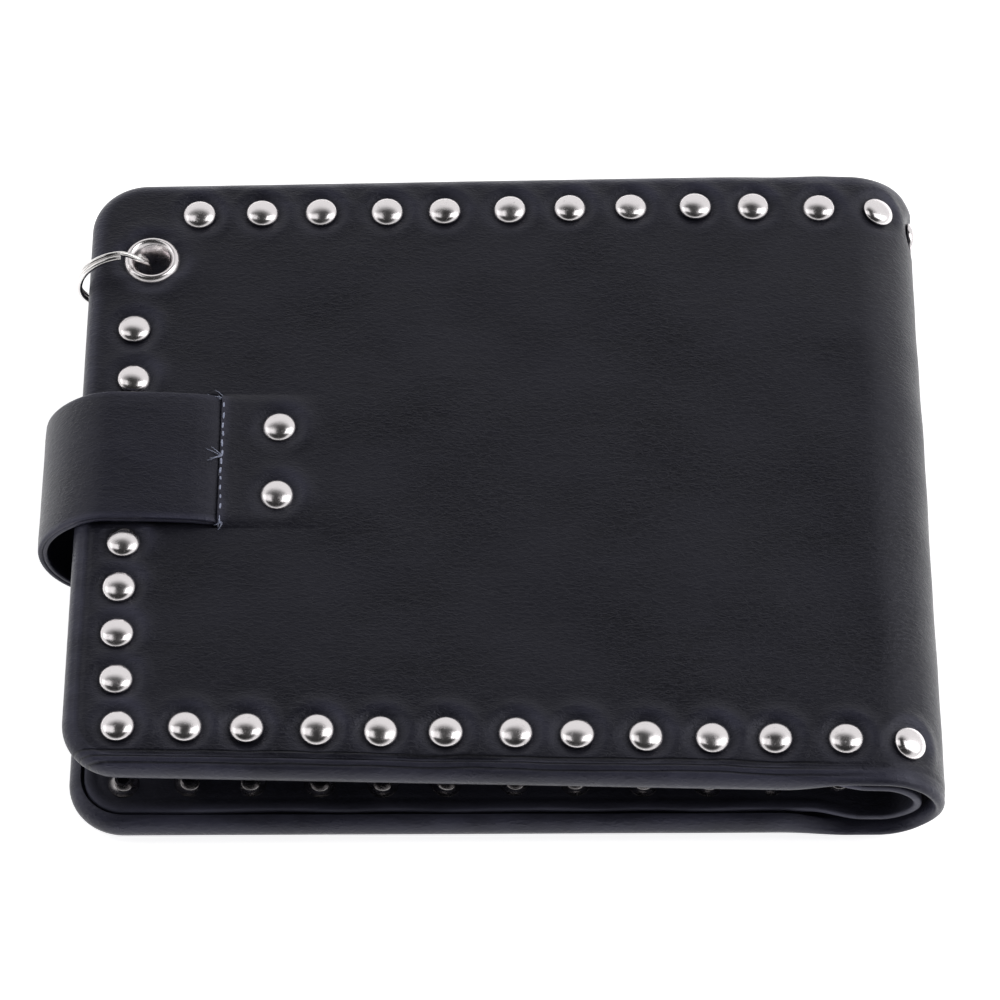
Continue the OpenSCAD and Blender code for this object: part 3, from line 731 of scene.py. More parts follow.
def lining_shape(side):
    """Lining plate of a half: a thin sheet with a rounded edge whose outline wanders a little."""
    inset, roll = LINING_INSET, LINING_ROLL
    reach = half_depth(EDGE_X + CORNER_R) - inset - roll
    xs = spaced(EDGE_X + inset + roll, 0.4, EDGE_X + inset + 4, 0.9, SEAM_X)
    ys = spaced(-reach, 0.4, -reach + 5, 1.4, reach - 5, 0.4, reach)
    x, y, edge, phi, _, _ = half_grid(xs, ys, inset, roll, 5, SEAM_X)
    rivets = FRONT_RIVETS if side > 0 else BACK_RIVETS
    y = y + np.sign(y) * 0.14 * waves(x, 0 * x, 51 + side, 8, 26) * smooth(1 - edge / 3) * smooth((SEAM_X - x) / 5)
    y = y + np.sign(y) * (inset - lining_inset(x)) * smooth(np.abs(y) / half_depth(x))
    height = lining_relief(x, y, edge, 53 + side, rivets) * np.cos(phi) * smooth((SEAM_X - x) / 4)
    top = LINING_Z + LINING_T / 2 * (1 + np.cos(phi))
    bottom = LINING_Z + LINING_T / 2 * (1 - np.cos(phi)) - height
    sheets = [settled(np.stack([x, y, z], -1), side) for z in (top, bottom)]
    shape = Shape()
    for sheet in sheets:
        shape.add(sheet, wear=0.8 * bell(edge / 0.9))
    shape.add(np.stack([sheets[0][-1], sheets[1][-1]]))
    return shape


def plate_shape(low, high, corner, roll, face, seed, opening=None):
    """Leaf of a pocket: a rounded plate with a pressed hem line, facing up (1) or down (-1), open if told so."""
    lines = []
    for k in (0, 1):
        first, last = low[k] + roll, high[k] - roll
        run = spaced(first, 0.5, first + 3, 1.2, last - 3, 0.5, last)
        if opening is not None:
            run = np.unique(np.concatenate([run, opening[k::2]]))
        lines.append(np.concatenate([beyond(first, roll, 4, -1), run, beyond(last, roll, 4, 1)]))
    xs, ys = lines
    x, y, edge, phi = round_plan(xs, ys, low, high, corner, roll, False)
    middle, half = (low[2] + high[2]) / 2, (high[2] - low[2]) / 2
    height = (0.05 * waves(x, y, seed) * smooth(edge / 3) - 0.12 * bell((edge - 1.9) / 0.35)) * np.cos(phi)
    shape = Shape()
    keep = np.ones((len(xs) - 1, len(ys) - 1), bool)
    sheets = [np.stack([x, y, middle + face * half * np.cos(phi) + face * np.minimum(height, 0)], -1),
              np.stack([x, y, middle - face * half * np.cos(phi)], -1)]
    if opening is not None:
        ring = opening_ring(xs, ys, opening[:2], opening[2:], keep)
        shape.add(np.array([[sheet[place] for place in ring] for sheet in sheets]), wrap_columns=True)
    for sheet in sheets:
        shape.add(sheet, keep=keep, wear=0.4 * bell(edge / 0.8))
    return shape


# ---- metal shapes ----


def cap_profile(radius, height):
    """Low dome: part of a sphere through the rim and the top, with a rounded rim and a flat underside."""
    share = np.array([0, 0.12, 0.25, 0.38, 0.5, 0.61, 0.7, 0.78, 0.85, 0.91, 0.95, 0.98])
    dome = np.stack([radius * share, 0.2 + (height - 0.2) * (1 - 0.62 * share ** 2.1 - 0.38 * share ** 9)], -1)
    rim = [[radius, 0.1], [radius * 0.985, -0.02], [radius * 0.94, -0.12], [radius * 0.8, -0.2], [0, -0.2]]
    return np.concatenate([dome, rim])


BACK_PROFILE = [(0.86, 1.4), (0.86, -0.3), (0.9, -0.42), (1.02, -0.48), (1.16, -0.44), (1.24, -0.34), (1.34, -0.29),
                (1.9, -0.28), (2.14, -0.32), (2.28, -0.26), (2.32, -0.14), (2.26, 0.0), (1.4, 0.05), (1.25, 0.2),
                (1.25, 1.4)]


def add_caps(shape, places, normals, seed):
    """Rivet caps, each a little tilted and set a little deeper or prouder than the next."""
    rng = np.random.default_rng(seed)
    profile = cap_profile(box("spine_side_rivet_cap")[1][1] - ROWS["spine_side"][0][1], BACK_Z)
    for place, normal in zip(places, normals):
        tilt = rng.normal(0, 0.035, 3)
        base = np.asarray(place) + np.asarray(normal) * rng.uniform(-0.1, 0.02)
        dome = profile * [1, rng.uniform(0.97, 1.05)]
        shape.add(lathe(dome, base, np.asarray(normal) + tilt, 40, rng.uniform(-0.012, 0.012)), wrap_columns=True)


def add_backs(shape, places, normals, seed):
    """Rivet backs: a flange round a curled tube, each a little tilted, marked to be darkened with painted shade."""
    rng = np.random.default_rng(seed)
    for place, normal in zip(places, normals):
        tilt = rng.normal(0, 0.03, 3)
        flange = lathe(BACK_PROFILE, place, -np.asarray(normal) + tilt, 28)
        shape.add(flange, wear=1.0, wrap_rows=True, wrap_columns=True)


def spine_places(row, inwards):
    """Places on the spine at a row's angle, inwards millimetres under its outside, and their outward directions."""
    places, normals = [], []
    for x, y, z in ROWS[row]:
        turn = math.atan2(z - MID_Z, x - SPINE_X)
        normal = np.array([math.cos(turn), 0, math.sin(turn)])
        places.append(np.array([SPINE_X, y, MID_Z]) + (SPINE_R - inwards) * normal)
        normals.append(normal)
    return sag(np.array(places)), np.array(normals)


def flat_places(row, z):
    """Places of a row at height z."""
    points = ROWS[row].copy()
    points[:, 2] = z
    return sag(points), np.tile([0, 0, 1.0 if z > MID_Z else -1.0], (len(points), 1))


def ring_path():
    """Two close turns of wire: a circle that changes from one side to the other, along its axis, after one turn."""
    low, high = box("split_ring")
    middle = (low + high) / 2 - [0.35, 0, 0]
    reach = (high[2] - low[2]) / 2 - RING_WIRE
    t = np.linspace(0.32, 4 * np.pi - 0.32, 150)
    start = math.radians(60)
    offset = -0.41 + 0.82 * smooth((t - 2 * np.pi + 0.36) / 0.72)
    around = np.cos(t + start)[:, None] * RING_FLAT + np.sin(t + start)[:, None] * np.array([0, 0, 1.0])
    return middle + reach * around + offset[:, None] * RING_AXIS


def ring_wire(path, centre, segments=14):
    """Ring wire: a circle flattened across the ring's axis, carried along the path with its sides kept to the axis."""
    out = path - centre
    out = out - (out @ RING_AXIS)[:, None] * RING_AXIS
    out /= np.linalg.norm(out, axis=1, keepdims=True)
    a = np.linspace(0, 2 * np.pi, segments, endpoint=False)[None, :, None]
    rings = path[:, None] + RING_WIRE * (np.cos(a) * out[:, None] + 0.95 * np.sin(a) * RING_AXIS)
    ends = [np.repeat(rings[i].mean(0)[None, None], segments, 1) for i in (0, -1)]
    return np.concatenate([ends[0], rings, ends[1]])


# ---- strap ----


ARM_POINTS = 160


def strap_path():
    """Outer face of the strap as (x, z), its outward direction, half width and angle.

    It runs from under the cover, round the bend, to the rounded end.
    """
    arm_x = np.array([ROOT_X, *(SLIT_X + np.array([4.2, 2.2, 0.4, -1.2, -3.4, -7, -11])), BEND[0]])
    arm_z = TOP_Z + np.array([-1.25, -1.15, -0.6, 0.55, 1.25, 1.75, 2.15, 2.4, 2.45])
    x = np.linspace(ROOT_X, BEND[0], ARM_POINTS)
    z = np.interp(-x, -arm_x, arm_z)
    for _ in range(12):
        z[1:-1] = (z[:-2] + 2 * z[1:-1] + z[2:]) / 4
    turn = np.radians(np.linspace(90, 270, 97))[1:]
    radius = STRAP_R - 0.4 * np.where(turn < np.pi, np.sin(2 * (turn - np.pi / 2)) ** 2, 0)
    arc = np.stack([BEND[0] + radius * np.cos(turn), BEND[1] + radius * np.sin(turn)], -1)
    rounded_end = SNAP_X + STRAP_W / 2 * np.sin(np.linspace(0, np.pi / 2, 22))[1:-1]
    tail_x = np.concatenate([np.linspace(BEND[0], SNAP_X, 24)[1:], rounded_end])
    tail_z = BEND[1] - STRAP_R + (TAIL_Z - BEND[1] + STRAP_R) * smooth((tail_x - BEND[0]) / 7)
    path = np.concatenate([np.stack([x, z], -1), arc, np.stack([tail_x, tail_z], -1)])
    along = np.gradient(path, axis=0)
    along /= np.linalg.norm(along, axis=1, keepdims=True)
    normal = np.stack([along[:, 1], -along[:, 0]], -1)
    width = np.full(len(path), STRAP_W / 2)
    past = np.maximum(path[:, 0] - SNAP_X, 0) * (np.arange(len(path)) > ARM_POINTS)
    width = np.where(past > 0, np.sqrt(np.maximum((STRAP_W / 2) ** 2 - past ** 2, 0.3)), width)
    angle = np.degrees(np.unwrap(np.arctan2(normal[:, 1], normal[:, 0])))
    return path, normal, width, angle


def strap_outline(half_w):
    """Two-ply outline (y, n): flat faces, rounded corners, and a groove between the plies along each side."""
    t = STRAP_T
    y = np.linspace(-1, 1, 31) * (half_w - 0.42)
    upper_ply = [(-0.2, -0.04), (-0.07, -0.13), (0.0, -0.3), (0.0, -0.52), (-0.09, -0.68)]
    lower_ply = [(-0.09, -0.82), (0.0, -0.98), (0.0, -1.2), (-0.07, -1.37), (-0.2, -1.46)]
    side = np.array([*upper_ply, (-0.17, -0.75), *lower_ply]) * [1, t / 1.5]
    right = side + [half_w, 0]
    left = side[::-1] * [-1, 1] - [half_w, 0]
    return np.concatenate([np.stack([y, 0 * y], -1), right, np.stack([y[::-1], 0 * y - t], -1), left])


def strap_shape(first, last):
    """Part of the strap between two places on its path, with low waves and a rubbed edge."""
    path, normal, width, _ = strap_path()
    rows, wear_and_painted_light_rows = [], []
    length = np.concatenate([[0], np.cumsum(np.linalg.norm(np.diff(path, axis=0), axis=1))])
    for i in range(first, last + 1):
        outline = strap_outline(width[i])
        y, n = outline[:, 0], outline[:, 1]
        edge = width[i] - np.abs(y)
        rise = 0.1 * waves(length[i] + 0 * y, y, 61) - 0.09 * smooth(1 - edge / 2.6) - 0.05 * bell((edge - 1.5) / 0.25)
        n = n + rise * np.where(n > -0.1, 1, 0.6)
        p = path[i] + normal[i] * n[:, None]
        rows.append(np.stack([p[:, 0], y + 0.12 * math.sin(length[i] / 6.0), p[:, 1]], -1))
        wear_and_painted_light_rows.append(0.7 * bell((edge - 0.2) / 0.5) + 0.15)
    return closed_strip(np.array(rows), np.array(wear_and_painted_light_rows))


# ---- settings ----


def color_setting(name, what, *default):
    """A colour in the panel."""
    return FloatVectorProperty(name=name, description="Colour of " + what, subtype="COLOR", default=default, min=0,
                               max=1)


def length_setting(name, description, default, low, high):
    """A length in the panel, given in millimetres."""
    return FloatProperty(name=name, description=description, subtype="DISTANCE", unit="LENGTH", default=default * MM,
                         min=low * MM, max=high * MM)


class WalletLeatherSettings(bpy.types.PropertyGroup):
    """Colours and surface depths of the leather."""

    cover_color: color_setting("Cover", "the outer leather", 0.005, 0.005, 0.0075)
    strap_color: color_setting("Strap", "the strap", 0.006, 0.006, 0.01)
    pocket_color: color_setting("Pockets", "the card pockets", 0.017, 0.017, 0.022)
    lining_color: color_setting("Lining", "the lining sheets", 0.016, 0.016, 0.023)
    wave_height: length_setting("Wave height", "Height of the slow waves in the padding", 0.16, 0, 1)
    dent_depth: length_setting("Dent depth", "How far a rivet draws the leather down", 0.34, 0, 1)


class WalletMetalSettings(bpy.types.PropertyGroup):
    """Colours and sizes of the metal parts and the thread."""

    rivet_color: color_setting("Nickel", "rivets, eyelet and snap", 0.86, 0.82, 0.83)
    ring_color: color_setting("Ring", "the split ring", 0.8, 0.78, 0.77)
    thread_radius: length_setting("Thread radius", "Half the thickness of the thread", 0.15, 0.05, 0.5)


class WalletStudioSettings(bpy.types.PropertyGroup):
    """Floor, light and camera."""

    floor_color: color_setting("Floor", "the floor", 0.93, 0.93, 0.93)
    side_power: FloatProperty(name="Side light", description="Power of the right light; the left light has under half",
                              subtype="POWER", unit="POWER", default=6.5, min=0)
    elevation: FloatProperty(name="Camera height", description="Angle of the camera above the floor", subtype="ANGLE",
                             unit="ROTATION", default=math.radians(56.5))
    distance: FloatProperty(name="Camera distance", description="From the camera to the middle of the view",
                            subtype="DISTANCE", unit="LENGTH", default=0.6499)


def metres(*values):
    """Millimetres to metres."""
    return tuple(float(v) * MM for v in values)


# ---- operators ----


def fixed(shape, name, finish, slot, body, *nodes, sharp=55):
    """Makes a shape's object, which stands for its CAD nodes and rides on one body."""
    piece = shape.object(name, material(finish), slot, sharp)
    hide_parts(*nodes)
    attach(piece, body)
    return piece


class WALLET_OT_covers(bpy.types.Operator):
    """Make the two padded leather covers"""

    bl_idname = "wallet.covers"
    bl_label = "Covers"

    def execute(self, context):
        for side, half in ((1, "front"), (-1, "back")):
            piece = fixed(cover_shape(side), half + "_padded_cover", "cover", "cover_leather", half + "_half",
                          half + "_cover", half + "_board")
        return {"FINISHED"}


class WALLET_OT_spine(bpy.types.Operator):
    """Make the spine leather and its lining over the spine's arc"""

    bl_idname = "wallet.spine"
    bl_label = "Spine leather"

    def execute(self, context):
        us = spaced(SEAM_X, 0.02, SEAM_X + 0.02, 0.5, SPINE_X + ARC)
        lining_us = spaced(SEAM_X, 0.6, SPINE_X, 0.75, SPINE_X + ARC)
        lining_length = LINING_R / SPINE_R * ARC + SPINE_X - SEAM_X
        depth = 2 * half_depth(SPINE_X)
        for side, half, strips in ((1, "front", "upper"), (-1, "back", "lower")):
            def calm(u, y, edge, _side, seed=57 + side):
                fade = smooth((u - SEAM_X) / 5) * smooth((SPINE_X + ARC - u) / 4)
                return 0.1 * waves(u, y, seed) * fade, 0.4 * bell(edge / 0.9)

            leather_strip = spine_sheet(us, SPINE_R, SPINE_T, half_depth, PANEL_T / 2, side, relief)
            lining_strip = spine_sheet(lining_us, LINING_R, LINING_T, lambda x: half_depth(x) - lining_inset(x),
                                       LINING_ROLL, side, calm)
            for strip, name, cad_name, finish, slot, flat, under in (
                    (leather_strip, "spine_leather_", "spine_cover_", "cover", "cover_leather",
                     (us[-1] - us[0], depth), "_padded_cover"),
                    (lining_strip, "spine_lining_", "spine_lining_", "lining", "lining",
                     (lining_length, depth - 2 * lining_inset(SPINE_X)), "_lining_sheet")):
                piece = closed_strip(*strip).object(name + half, material(finish), slot)
                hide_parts(cad_name + strips, *([cad_name + "middle"] if side > 0 else []))
                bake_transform(piece)
        return {"FINISHED"}


class WALLET_OT_linings(bpy.types.Operator):
    """Make the lining sheets of the two halves"""

    bl_idname = "wallet.linings"
    bl_label = "Linings"

    def execute(self, context):
        for side, half in ((1, "front"), (-1, "back")):
            piece = fixed(lining_shape(side), half + "_lining_sheet", "lining", "lining", half + "_half",
                          half + "_lining")
        return {"FINISHED"}


class WALLET_OT_pockets(bpy.types.Operator):
    """Make the note dividers, card pockets, window frame and film"""

    bl_idname = "wallet.pockets"
    bl_label = "Pockets"

    # CAD node, finish, and which way its face looks: up 1, down -1.
    leaves = (("front_note_divider", "lining", -1), ("front_card_pocket_rear", "pocket", -1),
              ("front_card_pocket_middle", "pocket", -1), ("front_card_pocket_front", "pocket", -1),
              ("back_note_divider", "lining", 1), ("back_card_pocket_rear", "pocket", 1),
              ("back_card_pocket_front", "pocket", 1), ("back_window_frame", "pocket", 1),
              ("back_window_film", "film", 1))
    slots = {"lining": "lining", "pocket": "pocket_leather", "film": "window_film"}

    def execute(self, context):
        film_low, film_high = box("back_window_film")
        window = (film_low[0] + 0.2, film_low[1] + 0.2, film_high[0] - 0.2, film_high[1] - 0.2)
        for seed, (node, finish, face) in enumerate(self.leaves):
            low, high = box(node)
            opening = window if node == "back_window_frame" else None
            corner, roll = (1.0, 0.12) if finish == "film" else (2.4, 0.34)
            shape = plate_shape(low, high, corner, roll, face, 71 + seed, opening)
            half = node.split("_")[0]
            piece = fixed(shape, node + "_leaf", finish, self.slots[finish], half + "_half", node)
            area = (high[0] - low[0]) * (high[1] - low[1])
            if opening is not None:
                area -= (window[2] - window[0]) * (window[3] - window[1])
        return {"FINISHED"}


class WALLET_OT_rivets(bpy.types.Operator):
    """Make the domed rivet caps and the tubular rivet backs"""

    bl_idname = "wallet.rivets"
    bl_label = "Rivets"

    def execute(self, context):
        for seed, row in enumerate(("front_near", "front_far", "front_edge", "strap", "back_near", "back_far",
                                    "back_edge", "spine_upper", "spine_side", "spine_lower")):
            on_back = row.startswith("back") or row == "spine_lower"
            if row.startswith("spine"):
                (places, normals), (inside, _) = spine_places(row, 0.0), spine_places(row, SPINE_T + 0.3)
            else:
                heights = (BACK_Z, 2 * MID_Z - LINING_Z) if on_back else (TOP_Z, LINING_Z)
                (places, normals), (inside, _) = [flat_places(row, z) for z in heights]
            body, one = "back_half" if on_back else "front_half", "s"
            if row == "spine_side":
                body, one = "spine", ""
            caps, backs = Shape(), Shape()
            add_caps(caps, places, normals, 100 + seed)
            fixed(caps, row + "_domed_caps", "rivet", "rivet_nickel", body, row + "_rivet_cap" + one)
            if row != "strap":
                add_backs(backs, inside, normals, 200 + seed)
                fixed(backs, row + "_tube_backs", "rivet", "rivet_nickel", body, row + "_rivet_back" + one)
        return {"FINISHED"}


class WALLET_OT_eyelet(bpy.types.Operator):
    """Make the eyelet, its washer and the split ring"""

    bl_idname = "wallet.eyelet"
    bl_label = "Eyelet and ring"

    def execute(self, context):
        low, high = box("eyelet_barrel")
        r = (high[0] - low[0]) / 2
        bottom, top = low[2], TOP_Z
        barrel = [(2.15, bottom), (2.1, top - 2.2), (2.18, top - 1.5), (2.36, top - 0.9), (2.6, top - 0.38),
                  (2.86, top + 0.1), (3.08, top + 0.42), (3.34, top + 0.64), (3.62, top + 0.66), (3.88, top + 0.5),
                  (4.12, top + 0.22), (r - 0.03, top - 0.06), (r, top - 0.2), (r - 0.12, top - 0.32), (3.05, top - 0.4),
                  (2.85, top - 1.2), (2.75, top - 2.2), (2.75, bottom)]
        low, high = box("eyelet_washer")
        z0, z1 = low[2], high[2]
        washer = [(2.8, z1), (2.8, z0 + 0.1), (2.92, z0), (3.3, z0 - 0.06), (3.75, z0), (3.95, z0 + 0.12),
                  (4.0, z1 - 0.05), (3.9, z1)]
        centre = (EYELET[0], EYELET[1], 0)
        for name, node, profile, segments, wobble in (("eyelet_rolled_barrel", "eyelet_barrel", barrel, 96, 0.004),
                                                      ("eyelet_inner_washer", "eyelet_washer", washer, 64, 0.0)):
            shape = Shape().add(lathe(profile, centre, segments=segments, wobble=wobble), wrap_rows=True,
                                wrap_columns=True)
            fixed(shape, name, "eyelet", "eyelet_nickel", "front_half", node)
        low, high = box("split_ring")
        shape = Shape().add(ring_wire(ring_path(), (low + high) / 2), wrap_columns=True)
        fixed(shape, "two_turn_split_ring", "ring", "ring_steel", "split_ring", "split_ring")
        return {"FINISHED"}


class WALLET_OT_strap(bpy.types.Operator):
    """Make the strap as four lengths along its path round the bend"""

    bl_idname = "wallet.strap"
    bl_label = "Strap"

    # Name, start and end angle on the bend, first and second body, and the CAD nodes it stands for.
    lengths = (("strap_arm", None, 135, "front_half", "strap_upper", ("strap_root", "strap_bend_upper")),
               ("strap_upper_curve", 135, 180, "strap_upper", "strap_middle", ("strap_bend_middle",)),
               ("strap_lower_curve", 180, 225, "strap_middle", "strap_lower", ("strap_bend_lower",)),
               ("strap_snap_end", 225, None, "strap_lower", "strap_end", ("strap_tail",)))

    def execute(self, context):
        path, _, width, angle = strap_path()
        angle = angle - angle[0] + 90
        on_arm = np.arange(len(path)) < ARM_POINTS - 2
        made = {}
        for k, (name, start, end, first_body, second_body, nodes) in enumerate(self.lengths):
            i0 = 0 if start is None else int(np.argmin(np.where(on_arm, 1e3, abs(angle - start))))
            i1 = len(path) - 1 if end is None else int(np.argmin(np.where(on_arm, 1e3, abs(angle - end))))
            piece = strap_shape(i0, i1).object(name, material("strap"), "strap_leather")
            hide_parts(*nodes)
            steps = np.linalg.norm(np.diff(path[i0:i1 + 1], axis=0), axis=1)
            made[name] = piece, steps.sum(), (steps * 2 * width[i0 + 1:i1 + 1]).sum()
            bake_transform(piece)
        for name, curve, under in (("strap_arm", "strap_upper_curve", "front_padded_cover"),
                                   ("strap_snap_end", "strap_lower_curve", "back_padded_cover")):
            piece, length, area = made[name]
        return {"FINISHED"}


class WALLET_OT_snap(bpy.types.Operator):
    """Make the snap's cap, socket, stud and post"""

    bl_idname = "wallet.snap"
    bl_label = "Snap"

    def execute(self, context):
        sizes = {}
        for node in ("snap_cap", "snap_socket", "snap_stud", "snap_post"):
            low, high = box(node)
            sizes[node] = ((high[0] - low[0]) / 2, low[2], high[2])
        r, z0, z1 = sizes["snap_cap"]
        cap = [(0, z0), (1.6, z0 + 0.03), (3.0, z0 + 0.14), (4.1, z0 + 0.36), (4.7, z0 + 0.6), (r - 0.05, z1 - 0.12),
               (r, z1 - 0.02), (r - 0.1, z1 + 0.08), (r - 0.5, z1 + 0.1), (0, z1 + 0.1)]
        r, z0, z1 = sizes["snap_socket"]
        socket = [(2.05, z0 - 0.2), (2.05, z1 - 0.1), (2.2, z1 + 0.02), (2.6, z1 + 0.04), (3.0, z1 - 0.12),
                  (3.5, z1 - 0.16), (4.1, z1 - 0.06), (r - 0.06, z1 - 0.08), (r, z1 - 0.25), (r, z0 + 0.05),
                  (r - 0.2, z0 - 0.2)]
        r, z0, z1 = sizes["snap_stud"]
        stud = [(0.8, z0), (1.55, z0 + 0.02), (1.78, z0 + 0.14), (1.88, z0 + 0.32), (1.78, z0 + 0.52), (1.7, z1 - 0.5),
                (1.9, z1 - 0.32), (r - 0.15, z1 - 0.26), (r, z1 - 0.16), (r, z1), (0.8, z1)]
        r, z0, z1 = sizes["snap_post"]
        post = [(0, z0), (0.78, z0), (0.78, z1 - 0.42), (0.95, z1 - 0.33), (r - 0.1, z1 - 0.3), (r, z1 - 0.2),
                (r - 0.1, z1 - 0.05), (r * 0.6, z1), (0, z1 + 0.02)]
        for node, profile, body, ring in (("snap_cap", cap, "strap_end", False),
                                          ("snap_socket", socket, "strap_end", True),
                                          ("snap_stud", stud, "back_half", True),
                                          ("snap_post", post, "back_half", False)):
            shape = Shape().add(lathe(profile, (SNAP_X, 0, 0), segments=64), wrap_rows=ring, wrap_columns=True)
            fixed(shape, node + "_turned", "snap", "snap_nickel", body, node)
        return {"FINISHED"}


def wandering(start, end, count, seed, loose):
    """Path from start to end that wanders: a straight line plus smoothed random steps, tied at the first end."""
    rng = np.random.default_rng(seed)
    t = np.linspace(0, 1, count)[:, None]
    drift = np.cumsum(rng.normal(0, 1, (count, 3)), axis=0)
    fifths = np.ones(5) / 5
    drift = np.array([np.convolve(np.pad(d, 2, mode="edge"), fifths, "valid") for d in drift.T]).T
    drift[:, 2] = np.abs(drift[:, 2]) * 0.6
    line = np.asarray(start) * (1 - t) + np.asarray(end) * t
    return line + loose * drift / math.sqrt(count) * np.minimum(1, 4 * t)


class WALLET_OT_thread(bpy.types.Operator):
    """Make the stitches along the slit and their loose, fuzzy ends"""

    bl_idname = "wallet.thread"
    bl_label = "Slit thread"

    def execute(self, context):
        radius = context.scene.wallet_metal.thread_radius / MM
        rng = np.random.default_rng(7)
        shape = Shape()
        top = TOP_Z + 1.05
        half = STRAP_W / 2 + 0.2
        y = -half
        while y < half - 1.2:
            length = rng.uniform(1.1, 2.1)
            t = np.linspace(0, 1, 9)
            lean = rng.normal(0, 0.09, 2)
            x = SLIT_X + 0.32 + lean[0] + (lean[1] - lean[0]) * t
            z = top - 0.5 + 0.52 * np.sin(np.pi * t) ** 0.6 + rng.uniform(-0.05, 0.05)
            path = np.stack([x, y + length * t, z], -1)
            shape.add(tube(path, radius * (0.75 + 0.35 * np.sin(np.pi * t)), 8), wrap_columns=True)
            y += length + rng.uniform(-0.1, 0.2)
        ends = [((SLIT_X + 0.4, half - 0.5, top - 0.2), (SLIT_X - 0.9, half + 0.2, TOP_Z + 0.7), 4, 0.5),
                ((SLIT_X + 0.4, -half + 0.4, top - 0.2), (SLIT_X + 0.2, -half - 0.3, TOP_Z + 0.4), 4, 0.5),
                ((SLIT_X + 0.4, 0.3, top), (SLIT_X - 1.5, 1.0, TOP_Z + 1.5), 2, 0.25),
                ((SLIT_X + 0.4, 0.3, top), (SLIT_X - 1.7, -0.4, TOP_Z + 1.5), 2, 0.25)]
        for k, (start, end, strands, loose) in enumerate(ends):
            for strand in range(strands):
                goal = np.asarray(end) + rng.normal(0, 0.22, 3) * [1, 1, 0.4]
                path = wandering(start, goal, 14, 300 + 10 * k + strand, loose)
                shape.add(tube(path, radius * np.linspace(0.42, 0.16, 14), 6), wrap_columns=True)
        fixed(shape, "slit_stitches", "thread", "thread", "front_half", "slit_thread", sharp=80)
        return {"FINISHED"}


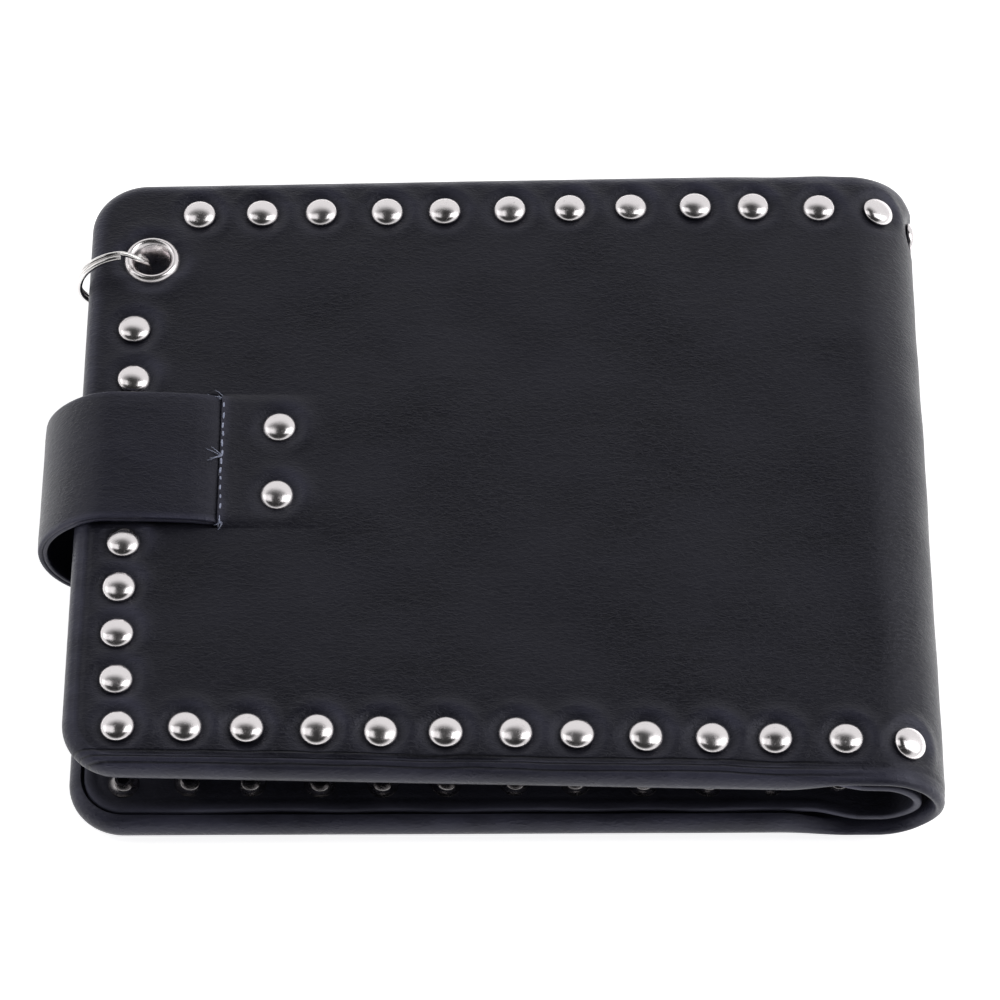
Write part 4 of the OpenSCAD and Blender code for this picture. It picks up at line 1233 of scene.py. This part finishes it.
class WALLET_OT_stage(bpy.types.Operator):
    """Set the floor, the soft lights, the sky and the camera"""

    bl_idname = "wallet.stage"
    bl_label = "Stage"

    def execute(self, context):
        # The sky's strength falls from 0.85 to 0.02 as the direction's product with SKY_WAY goes from 0.5 to 0.8.
        settings = context.scene.wallet_studio
        ground = CAD_BOX[0].z / MM
        line = np.linspace(-FLOOR_HALF, FLOOR_HALF, 25)
        x, y = np.meshgrid(line, line, indexing="ij")
        shape = Shape()
        for z in (ground, ground - FLOOR_T):
            shape.add(np.stack([x, y, 0 * x + z], -1))
        for edge in ((x[0], y[0]), (x[-1], y[-1]), (x[:, 0], y[:, 0]), (x[:, -1], y[:, -1])):
            shape.add(np.stack([np.stack([*edge, 0 * edge[0] + z], -1) for z in (ground, ground - FLOOR_T)]))
        shape.object("floor", material("floor"))
        target = Vector(metres(*VIEW_MIDDLE))
        for name, place, size, power in (("light_left", (-0.95, 0.1, 1.05), (0.7, 1.3), 0.45 * settings.side_power),
                                         ("light_right", (0.95, 0.0, 1.0), (0.7, 1.3), settings.side_power)):
            light = bpy.data.lights.new(name, "AREA")
            light.shape, light.size, light.size_y, light.energy = "RECTANGLE", *size, power
            lamp = bpy.data.objects.new(name, light)
            lamp.location = place
            lamp.rotation_euler = (target - Vector(place)).to_track_quat("-Z", "Y").to_euler()
            context.scene.collection.objects.link(lamp)
        world = bpy.data.worlds.new("light_tent")
        context.scene.world = world
        world.use_nodes = True
        tree = world.node_tree
        coords = tree.nodes.new("ShaderNodeTexCoord")
        towards = tree.nodes.new("ShaderNodeVectorMath")
        towards.operation = "DOT_PRODUCT"
        towards.inputs[1].default_value = SKY_WAY
        height = tree.nodes.new("ShaderNodeMapRange")
        height.interpolation_type = "SMOOTHSTEP"
        for socket, value in (("From Min", 0.5), ("From Max", 0.8), ("To Min", 0.85), ("To Max", 0.02)):
            height.inputs[socket].default_value = value
        tree.links.new(coords.outputs["Generated"], towards.inputs[0])
        tree.links.new(towards.outputs["Value"], height.inputs[0])
        tree.links.new(height.outputs[0], tree.nodes["Background"].inputs["Strength"])
        tree.nodes["Background"].inputs["Color"].default_value = (1, 1, 1, 1)
        camera = bpy.data.objects.new("camera", bpy.data.cameras.new("camera"))
        camera.data.sensor_width = SENSOR
        camera.data.lens = LENS
        camera.data.clip_start = 0.01
        look = Vector((0, math.cos(settings.elevation), -math.sin(settings.elevation)))
        camera.location = target - look * settings.distance
        camera.rotation_euler = look.to_track_quat("-Z", "Y").to_euler()
        context.scene.collection.objects.link(camera)
        context.scene.camera = camera
        context.scene.view_settings.view_transform = "Standard"
        return {"FINISHED"}


PIECES = (WALLET_OT_covers, WALLET_OT_spine, WALLET_OT_linings, WALLET_OT_pockets, WALLET_OT_rivets, WALLET_OT_eyelet,
          WALLET_OT_strap, WALLET_OT_snap, WALLET_OT_thread, WALLET_OT_stage)
SETTINGS = {"wallet_leather": WalletLeatherSettings, "wallet_metal": WalletMetalSettings,
            "wallet_studio": WalletStudioSettings}


class WALLET_PT_panel(bpy.types.Panel):
    """Lists the pieces in the order they are made"""

    bl_label = "Chain Wallet"
    bl_space_type = "VIEW_3D"
    bl_region_type = "UI"
    bl_category = "Wallet"

    def draw(self, context):
        for name in SETTINGS:
            for key in SETTINGS[name].__annotations__:
                self.layout.prop(getattr(context.scene, name), key)
        for piece in PIECES:
            self.layout.operator(piece.bl_idname)


def register():
    for group in SETTINGS.values():
        bpy.utils.register_class(group)
    for name, group in SETTINGS.items():
        setattr(bpy.types.Scene, name, PointerProperty(type=group))
    for piece in (*PIECES, WALLET_PT_panel):
        bpy.utils.register_class(piece)


def unregister():
    for piece in reversed((*PIECES, WALLET_PT_panel)):
        bpy.utils.unregister_class(piece)
    for name, group in reversed(SETTINGS.items()):
        delattr(bpy.types.Scene, name)
        bpy.utils.unregister_class(group)


def main():
    register()
    for piece in PIECES:
        category, name = piece.bl_idname.split(".")
        getattr(getattr(bpy.ops, category), name)()


if __name__ == "__main__":
    main()
